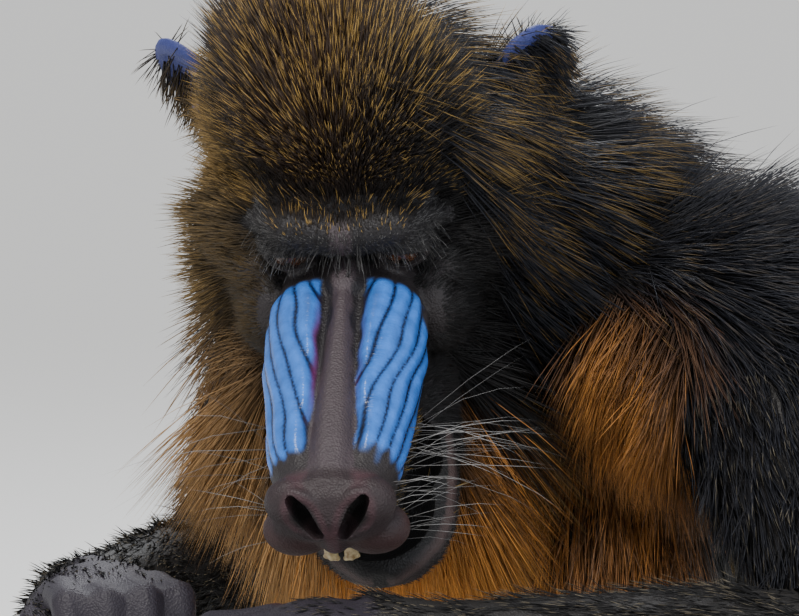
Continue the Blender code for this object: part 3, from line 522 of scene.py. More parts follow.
# The skin is thinned everywhere but on the face, whose fine relief shows
SKIN_TRIANGLES = 194000
FACE_HALF_WIDTH_MM = 50
FACE_START_MM = 40
FACE_TOP_MM = 40
from_head_place = head_place.inverted()
covered = []
for vertex in skin.data.vertices:
    place = from_head_place @ vertex.co * 1000
    if abs(place.x) > FACE_HALF_WIDTH_MM or -place.y < FACE_START_MM or place.z > FACE_TOP_MM:
        covered.append(vertex.index)
skin.vertex_groups.new(name="covered").add(covered, 1.0, "REPLACE")
skin_triangles = sum(len(face.vertices) - 2 for face in skin.data.polygons)
adjust(skin.modifiers.new("thin", "DECIMATE"), ratio=SKIN_TRIANGLES / skin_triangles, vertex_group="covered")
apply_modifiers(skin)
skin.vertex_groups.clear()
skin.data.transform(Matrix.Translation((0, -PAD_CENTRE_Y, 0)))
for vertex in skin.data.vertices:
    vertex.co.z = max(vertex.co.z, 0.0)
smooth(skin.data)
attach(skin, "root")
FLESH_NODES = ["head", "neck", "torso", "hips", "tail", "sitting_pads"] + [
    part + "_" + name for name in ("left", "right")
    for part in ("ear", "upper_arm", "forearm", "hand", "thigh", "shin", "foot")]
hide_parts(*FLESH_NODES)

# The skin's unwrap. It covers the whole hide, and each tuft of the coat takes its place on the map
# from where it is rooted.
bpy.context.view_layer.objects.active = skin
skin.select_set(True)
skin.data.uv_layers.new(name="OFBake")
bpy.ops.object.mode_set(mode="EDIT")
bpy.ops.mesh.select_all(action="SELECT")
bpy.ops.uv.smart_project(angle_limit=math.radians(75), island_margin=0.001)
bpy.ops.object.mode_set(mode="OBJECT")
skin.select_set(False)

# Markings: skin and coat take their colours from the same rules, given as places on the head in
# millimetres and as which bone of the body lies nearest. All colours are linear.
# The skin's colours also hold painted shade in grooves, nostrils and mouth, and painted highlights on
# ridges, nose and lower lip.
head_world = Matrix.Translation((0, -PAD_CENTRE_Y, 0)) @ head_place
head_turn = np.array(head_world.to_3x3())
head_origin = np.array(head_world.translation)


def on_head(points):
    """Side, forward and up in head millimetres."""
    local = (points - head_origin) @ head_turn * 1000.0
    return local[:, 0], -local[:, 1], local[:, 2]


def columns(*values):
    """Arrays and plain numbers side by side, a row for each place."""
    return np.stack(np.broadcast_arrays(*values), axis=1)


def head_direction(side, forward, up):
    return columns(side, -forward, up) @ head_turn.T


def laid(point):
    return np.array((point[0], point[1] - PAD_CENTRE_Y, point[2]))


BONES = [("head", np.array(head_world @ mm(0, -30, -14)), np.array(head_world @ mm(0, 180, -46)), 0.058),
         ("neck", laid((0, 0.010, 0.440)), laid((-0.018, -0.095, 0.490)), 0.080),
         ("trunk", laid((0, 0.070, 0.390)), laid((0, 0.100, 0.200)), 0.112),
         ("hips", laid((0, 0.110, 0.180)), laid((0, 0.130, 0.110)), 0.102),
         ("tail", laid((0, 0.225, 0.140)), laid((0, 0.262, 0.183)), 0.014)]
for side in (LEFT, RIGHT):
    name = SIDE_NAMES[side]
    toes = ANKLE[side] + Vector((side * math.sin(FOOT_TURN), -math.cos(FOOT_TURN), 0)) * 0.12
    BONES += [("shoulder_" + name, laid((side * 0.03, 0.02, 0.42)), laid(SHOULDER[side]), 0.060),
              ("upper_arm_" + name, laid(SHOULDER[side]), laid(ELBOW[side]), 0.046),
              ("forearm_" + name, laid(ELBOW[side]), laid(WRIST[side]), 0.032),
              ("hand_" + name, laid(WRIST[side].lerp(KNUCKLES[side], 0.25)),
               laid(WRIST[side].lerp(KNUCKLES[side], 1.6)), 0.022),
              ("thigh_" + name, laid(HIP[side]), laid(KNEE[side]), 0.056),
              ("shin_" + name, laid(KNEE[side]), laid(ANKLE[side]), 0.036),
              ("foot_" + name, laid(ANKLE[side] + Vector((0, 0.02, -0.02))),
               laid((toes.x, toes.y, 0.016)), 0.018)]
BONE_NAMES = [bone[0] for bone in BONES]


def nearest_bone(points):
    """Which bone each point belongs to, and how far along it (0 to 1)."""
    best = np.full(len(points), 9.0)
    which = np.zeros(len(points), dtype=int)
    along = np.zeros(len(points))
    for index, (_, start, end, radius) in enumerate(BONES):
        span = end - start
        share = np.clip((points - start) @ span / (span @ span), 0, 1)
        gap = np.linalg.norm(points - start - share[:, None] * span, axis=1) - radius
        closer = gap < best
        best[closer] = gap[closer]
        which[closer] = index
        along[closer] = share[closer]
    return which, along


def is_bone(which, *families):
    wanted = [index for index, name in enumerate(BONE_NAMES)
              if any(name == family or name.startswith(family + "_") for family in families)]
    return np.isin(which, wanted)


def blend(base, colour, share):
    share = np.clip(share, 0, 1)[:, None]
    return base * (1 - share) + np.array(colour) * share


def window(value, low, high, soft):
    return rise(value, low - soft, low + soft) * fall(value, high - soft, high + soft)


def wander(points, size, seed):
    """A smooth field between -1 and 1 that varies over the given length in metres."""
    draw = np.random.default_rng(seed)
    total = np.zeros(len(points))
    for _ in range(5):
        wave = draw.normal(size=3)
        wave *= 2 * np.pi / (size * draw.uniform(0.7, 1.5)) / np.linalg.norm(wave)
        total += np.sin(points @ wave + draw.uniform(0, 6.28))
    return total / 3.2


def muzzle_angle(side_mm, forward, up):
    """The angle that muzzle_relief takes, read back from a place on the muzzle."""
    half_width, middle, reach_up, _ = section_at(MUZZLE_SECTIONS, forward)
    across = (np.abs(side_mm) / half_width) ** (1 / MUZZLE_SQUARENESS)
    over = (up - middle) / reach_up
    over = np.sign(over) * np.abs(over) ** (1 / MUZZLE_SQUARENESS)
    return np.arctan2(across, over)


def over_jaw_rim(forward, up):
    """Height in mm over the upper rim of the lower jaw."""
    _, middle, reach, _ = section_at(JAW_SECTIONS, forward)
    return up - middle - reach


def ear_distance(side, forward, up):
    """Distance from the middle of the nearer ear, about 1 at its edge."""
    return np.sqrt(((np.abs(side) - EAR_OUT_MM) / 26) ** 2 + ((forward - EAR_FORWARD_MM) / 26) ** 2
                   + ((up - EAR_UP_MM) / 32) ** 2)


COAT_UNDER = (0.016, 0.014, 0.013)
FACE_SKIN = (0.021, 0.016, 0.017)
BLUE_RIDGE = (0.040, 0.185, 0.640)
# Painted shade: near-black blue laid into the grooves between the ridges
PAINTED_GROOVE_SHADE = (0.003, 0.008, 0.034)
PURPLE_EDGE = (0.140, 0.022, 0.110)
BROW_SKIN = (0.014, 0.012, 0.014)
BRIDGE_SKIN = (0.052, 0.037, 0.043)
NOSE_SKIN = (0.027, 0.016, 0.018)
JAW_SKIN = (0.026, 0.017, 0.017)
# Painted highlight: a pale band along the rim of the lower lip
PAINTED_LIP_HIGHLIGHT = (0.150, 0.090, 0.080)
# Painted highlight: pinkish light for the upper nostril rims and the ridge between the nostrils
PAINTED_NOSE_HIGHLIGHT = (0.130, 0.055, 0.068)
LIP_SKIN = (0.044, 0.018, 0.018)
HAND_SKIN = (0.024, 0.019, 0.028)
RUMP_BLUE = (0.120, 0.150, 0.420)
RUMP_PINK = (0.400, 0.110, 0.190)
PAD_SKIN = (0.460, 0.260, 0.270)
EAR_SKIN = (0.040, 0.055, 0.230)
# Painted shade: near black for the grooves beside the bridge
PAINTED_GUTTER_SHADE = (0.004, 0.002, 0.004)
# Painted shade: a dark band in the gap between the upper lip and the lower jaw
PAINTED_MOUTH_GAP_SHADE = (0.010, 0.006, 0.006)
# Painted shade: near black inside the nostrils and the open mouth
PAINTED_HOLLOW_SHADE = (0.003, 0.002, 0.002)


def skin_markings_and_painted_light(points):
    """Colour, painted shade and painted highlights included, and how much of a ridged swelling lies there.
    """
    side, forward, up = on_head(points)
    wide = np.abs(side)
    which, _ = nearest_bone(points)
    head = is_bone(which, "head")
    colour = np.tile(np.array(COAT_UNDER), (len(points), 1))
    colour = blend(colour, FACE_SKIN, head * window(forward, 30, 400, 12) * window(wide, -1, 54, 6))
    colour = blend(colour, BROW_SKIN, head * window(forward, 30, 80, 6) * window(up, 9, 40, 3))

    angle = muzzle_angle(side, forward, up)
    ripple = 0.8 * wander(points, 0.015, 3)
    middle = bridge_half_width(forward) + ripple
    edge = swelling_edge(forward) + ripple
    reach = 35 + 6 * rise(forward, 78, 98)
    share = rise(forward, 68, 73) * (forward < 190) * (up > -62) * head
    share = share * fall(up, 5, 8) * fall(wide, reach, reach + 2.5)
    swell = share * rise(wide, edge - 0.6, edge + 1.2)
    swell = swell * fall(angle + 0.05 * wander(points, 0.02, 4), OUTER_ANGLE - 0.08, OUTER_ANGLE + 0.06)
    profile = ridge_profile(side, section_at(MUZZLE_SECTIONS, forward)[0], forward, angle)
    # The grooves between the ridges take painted shade, a near-black blue; the ridges themselves are blue
    ridge = blend(np.tile(np.array(PAINTED_GROOVE_SHADE), (len(points), 1)), BLUE_RIDGE, rise(profile, 0.20, 0.58))
    # Painted highlight: the tops of the ridges are made up to 16 per cent lighter; the rest of the change is
    # random tone
    ridge = ridge * (0.92 + 0.16 * rise(profile, 0.7, 1.0) + 0.14 * wander(points, 0.012, 5))[:, None]
    purple = fall(wide - edge, 0.8, 3.6) * window(forward, 92, 150, 16)
    ridge = blend(ridge, PURPLE_EDGE, purple * np.where(side < 0, 0.95, 0.30))
    swell = swell * fall(forward + 5 * (1 - profile) - 3 * wander(points, 0.01, 7), 173, 181)
    colour = blend(colour, ridge, swell)
    bridge = head * window(forward, 58, 200, 6) * fall(wide, middle, middle + 1.6) * (up > -28)
    colour = blend(colour, BRIDGE_SKIN, bridge)
    # Painted shade in the grooves between the bridge and the swellings, fading out towards the nose
    gutter_shade = share * window(wide, middle - 0.4, edge + 0.4, 0.9) * fall(forward, 104, 172)
    colour = blend(colour, PAINTED_GUTTER_SHADE, gutter_shade * 0.95)

    nose = head * rise(forward, 186, 193) * (up > -48)
    colour = blend(colour, NOSE_SKIN, nose)
    along_slit = 0.48 * (wide - 11.5) + 0.88 * (up + 14.5)
    across_slit = 0.88 * (wide - 11.5) - 0.48 * (up + 14.5)
    ring = np.hypot(along_slit / 12.5, across_slit / 8.0)
    # Painted highlight along the upper rims of the nostrils
    colour = blend(colour, PAINTED_NOSE_HIGHLIGHT, nose * window(ring, 0.80, 1.15, 0.15) * (up > -22) * 0.34)
    # Painted shade inside the nostrils
    colour = blend(colour, PAINTED_HOLLOW_SHADE, nose * fall(ring, 0.52, 0.70))
    # Painted highlight down the ridge between the nostrils
    colour = blend(colour, PAINTED_NOSE_HIGHLIGHT, nose * fall(wide, 1.5, 5.0) * window(up, -42, -20, 4) * 0.45)

    lip = head * window(up, -60, -32, 4) * rise(forward, 172, 186) * rise(wide, 4, 9)
    colour = blend(colour, LIP_SKIN, lip)
    # Painted shade in the mouth gap under the upper lip
    colour = blend(colour, PAINTED_MOUTH_GAP_SHADE, head * window(up, -72, -58, 1.5) * rise(forward, 105, 118) * 0.8)
    colour = blend(colour, JAW_SKIN, head * fall(up, -72, -66) * rise(forward, 112, 126))
    over_rim = over_jaw_rim(forward, up)
    lower = head * (forward > 105) * (up < -56)
    # Painted highlight along the rim of the lower lip
    colour = blend(colour, PAINTED_LIP_HIGHLIGHT, lower * window(over_rim, -8.5, -5.0, 1.2) * 0.30)
    chewed = side - JAW_SHIFT_MM * rise(forward, *JAW_BEND_MM)
    inside = np.abs(chewed) < section_at(JAW_SECTIONS, forward)[0] - 4.5
    mouth = np.maximum(rise(over_rim, -4.0, -2.2), inside * (over_rim > -16))
    # Painted shade over the inside of the open mouth
    colour = blend(colour, PAINTED_HOLLOW_SHADE, lower * mouth)
    ear = (wide > 62) * fall(ear_distance(side, forward, up), 1.1, 1.35)
    colour = blend(colour, EAR_SKIN, ear * 0.9)

    colour = blend(colour, HAND_SKIN, is_bone(which, "hand", "foot") * 1.0)
    blotch = 0.016 * wander(points, 0.022, 6)
    height = points[:, 2] + blotch
    behind = rise(points[:, 1], 0.010, 0.055) * window(height, -0.1, 0.150, 0.024)
    behind = behind * fall(np.abs(points[:, 0]) + blotch, 0.060, 0.088)
    behind = behind * is_bone(which, "hips", "thigh", "tail")
    colour = blend(colour, RUMP_BLUE, behind)
    colour = blend(colour, RUMP_PINK, behind * window(height, -0.1, 0.066, 0.026) * 0.9)
    pads = (points[:, 2] < 0.0135) * (np.abs(points[:, 0]) < 0.08) * (np.abs(points[:, 1]) < 0.046)
    colour = blend(colour, PAD_SKIN, pads)
    return np.clip(colour, 0, 1), swell


LAYER_KEYS = {"FLOAT": "value", "FLOAT_VECTOR": "vector", "FLOAT_COLOR": "color"}


def add_layer(mesh, name, kind, values):
    """A value, a place or a colour at every vertex."""
    layer = mesh.attributes.new(name, kind, "POINT")
    layer.data.foreach_set(LAYER_KEYS[kind], np.asarray(values, dtype=np.float32).ravel())


def add_colour(mesh, name, colours):
    add_layer(mesh, name, "FLOAT_COLOR", np.c_[colours, np.ones(len(colours))])


def rows(items, key, size, kind=np.float32):
    """One value of every item, as an array with so many columns."""
    flat = np.empty(len(items) * size, dtype=kind)
    items.foreach_get(key, flat)
    return flat.reshape(-1, size)


skin_points = rows(skin.data.vertices, "co", 3).astype(float)
skin_colours, swell_share = skin_markings_and_painted_light(skin_points)
add_colour(skin.data, "skin_colour", skin_colours)
add_layer(skin.data, "swelling", "FLOAT", swell_share)
add_layer(skin.data, "face_place", "FLOAT_VECTOR", columns(*on_head(skin_points)))


def node(tree, kind, **settings):
    made = tree.nodes.new("ShaderNode" + kind)
    for key, value in settings.items():
        if key in made.bl_rna.properties:
            setattr(made, key, value)
        else:
            made.inputs[key.replace("_", " ")].default_value = value
    return made


def wire(tree, *links):
    """Joins nodes. Each link is a source, its output, a target and its input."""
    for source, output, target, socket in links:
        tree.links.new(source.outputs[output], target.inputs[socket])


def skin_finish():
    """Leathery skin: mottled colour with painted shade and highlights, fine pores everywhere, cross wrinkles
    over the swellings.
    """
    finish, tree, shader = new_finish("mandrill_skin", Subsurface_Weight=0.0, Specular_IOR_Level=0.5)
    colour_with_painted_light, swelling, place = [node(tree, "Attribute", attribute_name=name)
                                for name in ("skin_colour", "swelling", "face_place")]
    coords = node(tree, "TexCoord")
    mottle = node(tree, "TexNoise", Scale=260.0, Detail=5.0, Roughness=0.6)
    tone = node(tree, "MapRange", To_Min=0.70, To_Max=1.30)
    mixed = node(tree, "VectorMath", operation="SCALE")
    pores = node(tree, "TexVoronoi", Scale=900.0)
    squeeze = node(tree, "Mapping", Scale=(0.25, 0.75, 0.25))
    wrinkles = node(tree, "TexNoise", Scale=1.0, Detail=3.0, Roughness=0.55)
    choose = node(tree, "Mix")
    bump = node(tree, "Bump", Strength=0.50, Distance=0.0007)
    rough = node(tree, "MapRange", To_Min=0.58, To_Max=0.27)
    wire(tree, (coords, "Object", mottle, "Vector"), (mottle, "Fac", tone, "Value"),
         (colour_with_painted_light, "Color", mixed, 0), (tone, "Result", mixed, "Scale"),
         (mixed, "Vector", shader, "Base Color"), (coords, "Object", pores, "Vector"),
         (place, "Vector", squeeze, "Vector"), (squeeze, "Vector", wrinkles, "Vector"),
         (swelling, "Fac", choose, "Factor"), (pores, "Distance", choose, 2), (wrinkles, "Fac", choose, 3),
         (choose, 0, bump, "Height"), (bump, "Normal", shader, "Normal"),
         (swelling, "Fac", rough, "Value"), (rough, "Result", shader, "Roughness"))
    return finish


skin.data.materials.clear()
skin.data.materials.append(skin_finish())
for face in skin.data.polygons:
    face.material_index = 0

# Eyes: wet brown balls set deep under the brow, the iris red-brown with a round pupil, looking down
# past the nose. The lids of the skin lie over them.
GAZE_DROP = math.radians(18.0)
IRIS_ANGLE = math.radians(34.0)
PUPIL_ANGLE = math.radians(12.0)
EYE_COLOURS = ((0.0, (0.004, 0.003, 0.003)), (PUPIL_ANGLE, (0.004, 0.003, 0.003)),
               (PUPIL_ANGLE * 1.15, (0.070, 0.026, 0.012)), (IRIS_ANGLE * 0.8, (0.110, 0.042, 0.016)),
               (IRIS_ANGLE, (0.030, 0.012, 0.008)), (IRIS_ANGLE * 1.2, (0.12, 0.075, 0.055)),
               (math.pi, (0.16, 0.11, 0.085)))
IRIS_STREAKS = 17


def painted_finish(name, layer, **settings):
    """A finish that takes its colour from a layer of the mesh."""
    finish, tree, shader = new_finish(name, **settings)
    wire(tree, (node(tree, "Attribute", attribute_name=layer), "Color", shader, "Base Color"))
    return finish


eye_finish = painted_finish("eye", "eye_colour", Roughness=0.06, Coat_Weight=0.6)
eye_stops = np.array([stop for stop, _ in EYE_COLOURS])
eye_tones = np.array([tone for _, tone in EYE_COLOURS])
for side in (LEFT, RIGHT):
    ball = bmesh.new()
    bmesh.ops.create_uvsphere(ball, u_segments=48, v_segments=40, radius=EYE_RADIUS)
    mesh = bpy.data.meshes.new("eyeball_" + SIDE_NAMES[side])
    ball.to_mesh(mesh)
    ball.free()
    points = rows(mesh.vertices, "co", 3).astype(float)
    from_pole = np.arccos(np.clip(points[:, 2] / EYE_RADIUS, -1, 1))
    around = np.arctan2(points[:, 1], points[:, 0])
    streak = 1 + 0.25 * np.sin(around * IRIS_STREAKS) * (from_pole < IRIS_ANGLE)
    colours = columns(*[np.interp(from_pole, eye_stops, tone) for tone in eye_tones.T])
    add_colour(mesh, "eye_colour", np.clip(colours * streak[:, None], 0, 1))
    points = points * (1 + 0.045 * fall(from_pole, 0.0, IRIS_ANGLE * 1.25))[:, None]
    mesh.vertices.foreach_set("co", points.astype(np.float32).ravel())
    gaze = Vector((side * 0.10, -math.cos(GAZE_DROP), -math.sin(GAZE_DROP)))
    mesh.transform(gaze.to_track_quat("Z", "Y").to_matrix().to_4x4())
    mesh.transform(Matrix.Translation(eye_centre(side)))
    mesh.transform(head_world)
    smooth(mesh)
    mesh.materials.append(eye_finish)
    eye = link("eyeball_" + SIDE_NAMES[side], mesh)
    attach(eye, "root")
    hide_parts("eye_" + SIDE_NAMES[side])

# Coat: solid tufts, each a thin three-sided strand that tapers to a point, rooted in the skin and laid
# along the coat. Every tuft has its own colours along its length, from root to tip.
TUFT_RINGS = {3: (0.0, 0.42, 0.74), 2: (0.0, 0.74), 1: (0.0,)}
TUFT_TAPER = {3: (1.0, 0.86, 0.52), 2: (1.0, 0.58), 1: (1.0,)}
TUFT_FLATNESS = 0.55
ROOT_DEPTH = 0.0008
FLOOR_GAP = 0.0012
UV_PATCH = 0.003
mesh_data = skin.data
mesh_data.calc_loop_triangles()
corners = rows(mesh_data.loop_triangles, "vertices", 3, np.int32)
triangle_loops = rows(mesh_data.loop_triangles, "loops", 3, np.int32)
corner_uvs = rows(mesh_data.uv_layers["OFBake"].data, "uv", 2)[triangle_loops]
vertex_normals = rows(mesh_data.vertices, "normal", 3).astype(float)
edge_a = skin_points[corners[:, 1]] - skin_points[corners[:, 0]]
edge_b = skin_points[corners[:, 2]] - skin_points[corners[:, 0]]
triangle_areas = np.linalg.norm(np.cross(edge_a, edge_b), axis=1) * 0.5
triangle_middles = skin_points[corners].mean(axis=1)


def unit(vectors):
    return vectors / np.maximum(np.linalg.norm(vectors, axis=1), 1e-9)[:, None]


def sample_skin(density, count, draw):
    """Places on the skin drawn by area and density: points, normals and unwrap positions."""
    weight = triangle_areas * density
    chosen = draw.choice(len(corners), size=count, p=weight / weight.sum())
    u = draw.random(count)
    v = draw.random(count)
    over = u + v > 1
    u[over] = 1 - u[over]
    v[over] = 1 - v[over]
    mix = np.stack([1 - u - v, u, v], axis=1)[:, :, None]
    points = (skin_points[corners[chosen]] * mix).sum(axis=1)
    normals = unit((vertex_normals[corners[chosen]] * mix).sum(axis=1))
    uvs = (corner_uvs[chosen] * mix).sum(axis=1)
    return points, normals, uvs


coat_finish = painted_finish("mandrill_coat", "coat_colour", Roughness=0.54, Specular_IOR_Level=0.38)


def grow_tufts(name, roots, normals, uvs, lie, length, width, curl, tones, rings=3):
    """Joined strands. tones holds a colour for each ring and the tip, curl bends the strand off its lie."""
    count = len(roots)
    corner_count = rings * 3 + 1
    along = unit(lie)
    across = unit(np.cross(along, normals))
    flat = np.cross(across, along)
    points = np.empty((count, corner_count, 3), dtype=np.float32)
    colours = np.empty((count, corner_count, 3), dtype=np.float32)
    uv_points = np.empty((count, corner_count, 2), dtype=np.float32)
    start = roots - normals * ROOT_DEPTH
    for ring, (share, taper) in enumerate(zip(TUFT_RINGS[rings], TUFT_TAPER[rings])):
        middle = start + along * (length * share)[:, None] + curl * (length * share ** 2)[:, None]
        for corner in range(3):
            turn = 2 * math.pi * corner / 3 + math.pi / 2
            offset = across * math.cos(turn) + flat * (math.sin(turn) * TUFT_FLATNESS)
            points[:, ring * 3 + corner] = middle + offset * (width * 0.5 * taper)[:, None]
            colours[:, ring * 3 + corner] = tones[:, ring]
            uv_points[:, ring * 3 + corner] = uvs + UV_PATCH * np.array((corner / 3 - 0.5, share - 0.5))
    points[:, -1] = start + along * length[:, None] + curl * length[:, None]
    colours[:, -1] = tones[:, rings]
    uv_points[:, -1] = uvs + UV_PATCH * np.array((-0.17, 0.5))
    points[:, :, 2] = np.maximum(points[:, :, 2], FLOOR_GAP)
    pattern = []
    for ring in range(rings - 1):
        for corner in range(3):
            beside = (corner + 1) % 3
            low = ring * 3
            pattern.append((low + corner, low + beside, low + 3 + beside))
            pattern.append((low + corner, low + 3 + beside, low + 3 + corner))
    top = (rings - 1) * 3
    for corner in range(3):
        pattern.append((top + corner, top + (corner + 1) % 3, rings * 3))
    pattern = np.array(pattern, dtype=np.int32)
    faces = (np.arange(count, dtype=np.int32) * corner_count)[:, None, None] + pattern[None]
    faces = faces.reshape(-1, 3)
    mesh = bpy.data.meshes.new(name)
    mesh.vertices.add(count * corner_count)
    mesh.vertices.foreach_set("co", points.ravel())
    mesh.loops.add(faces.size)
    mesh.loops.foreach_set("vertex_index", faces.ravel())
    mesh.polygons.add(len(faces))
    mesh.polygons.foreach_set("loop_start", np.arange(0, faces.size, 3, dtype=np.int32))
    mesh.polygons.foreach_set("loop_total", np.full(len(faces), 3, dtype=np.int32))
    mesh.polygons.foreach_set("use_smooth", np.ones(len(faces), dtype=bool))
    mesh.update()
    layer = mesh.uv_layers.new(name="OFBake")
    layer.data.foreach_set("uv", uv_points.reshape(-1, 2)[faces.ravel()].ravel())
    add_colour(mesh, "coat_colour", colours.reshape(-1, 3))
    mesh.materials.append(coat_finish)
    made = link(name, mesh)
    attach(made, "root")


HAIR_BLACK = np.array((0.010, 0.009, 0.009))
HAIR_BLUE_BLACK = np.array((0.012, 0.013, 0.019))
HAIR_GOLD = np.array((0.520, 0.325, 0.080))
HAIR_AMBER = np.array((0.330, 0.130, 0.018))
HAIR_ORANGE = np.array((0.620, 0.250, 0.042))
HAIR_TAN = np.array((0.500, 0.320, 0.150))
HAIR_GREY = np.array((0.240, 0.235, 0.230))
HAIR_CREAM = np.array((0.480, 0.400, 0.260))
HAIR_OLIVE = np.array((0.060, 0.048, 0.026))
PALE_BAND = HAIR_GOLD * 0.6 + HAIR_TAN * 0.4
FAR_MM = 999
RUFF_PLACES = (((0.104, -0.202, 0.402), 0.052), ((0.088, -0.210, 0.352), 0.072),
               ((0.050, -0.170, 0.330), 0.085), ((-0.045, -0.188, 0.320), 0.058),
               ((0.010, -0.180, 0.290), 0.070))


def dress(coat, where, **values):
    """Sets rules of the coat at the places where a mask holds."""
    for key, value in values.items():
        coat[key][where] = value[where] if np.shape(value)[:1] == where.shape else value


def tint(coat, share, flecks=0.0, **tones):
    """Blends colours in, each given with its strength, and keeps at least so many flecks."""
    for key, (tone, strength) in tones.items():
        coat[key] = blend(coat[key], tone, share * strength)
    coat["flecked"] = np.maximum(coat["flecked"], flecks * share)


def body_coat(coat, points, normals, which, along):
    trunk = is_bone(which, "trunk", "hips")
    dress(coat, trunk, lie=(0, 0.25, -1.0), length=0.034, band=HAIR_GOLD * 0.38,
          shaft=HAIR_OLIVE * 0.55, flecked=0.6)
    belly = trunk & (normals[:, 1] < -0.35)
    dress(coat, belly, shaft=HAIR_GREY * 0.30, band=HAIR_GREY * 0.8, length=0.026)
    mane = trunk & (points[:, 2] > 0.33 + 0.05 * wander(points, 0.05, 21)) & ~belly
    mane_lie = columns(np.clip(points[:, 0] / 0.06, -1, 1) * 0.35, 0.75, -0.55)
    dress(coat, mane | is_bone(which, "neck", "shoulder"), lie=mane_lie, length=0.058, lift=0.26,
          shaft=HAIR_BLUE_BLACK * 1.2, band=HAIR_GREY * 0.30 + HAIR_TAN * 0.14, flecked=0.42, width=0.00095)
    dress(coat, is_bone(which, "upper_arm"), length=0.031, width=0.0013, shaft=HAIR_BLUE_BLACK, lift=0.26)
    dress(coat, is_bone(which, "forearm"), length=0.026 - 0.012 * along, width=0.00095, flecked=0.55,
          band=HAIR_CREAM * 0.8)
    dress(coat, is_bone(which, "thigh", "shin"), length=0.026 - 0.010 * along * is_bone(which, "shin"),
          shaft=HAIR_OLIVE * 0.45, band=HAIR_GOLD * 0.35, flecked=0.5)
    backs = rise(normals[:, 2], 0.1, 0.6) * fall(along, 0.20, 0.50)
    dress(coat, is_bone(which, "hand", "foot"), length=0.009, width=0.0012, lift=0.12, density=backs * 1.3)
    rump = rise(points[:, 1], 0.010, 0.045) * window(points[:, 2], -0.1, 0.150, 0.010)
    ragged = np.abs(points[:, 0]) + 0.012 * wander(points, 0.02, 22)
    rump = rump * fall(ragged, 0.055, 0.085) * is_bone(which, "hips", "thigh")
    coat["density"] *= 1 - rump
    coat["density"] *= rise(points[:, 2], 0.012, 0.022)


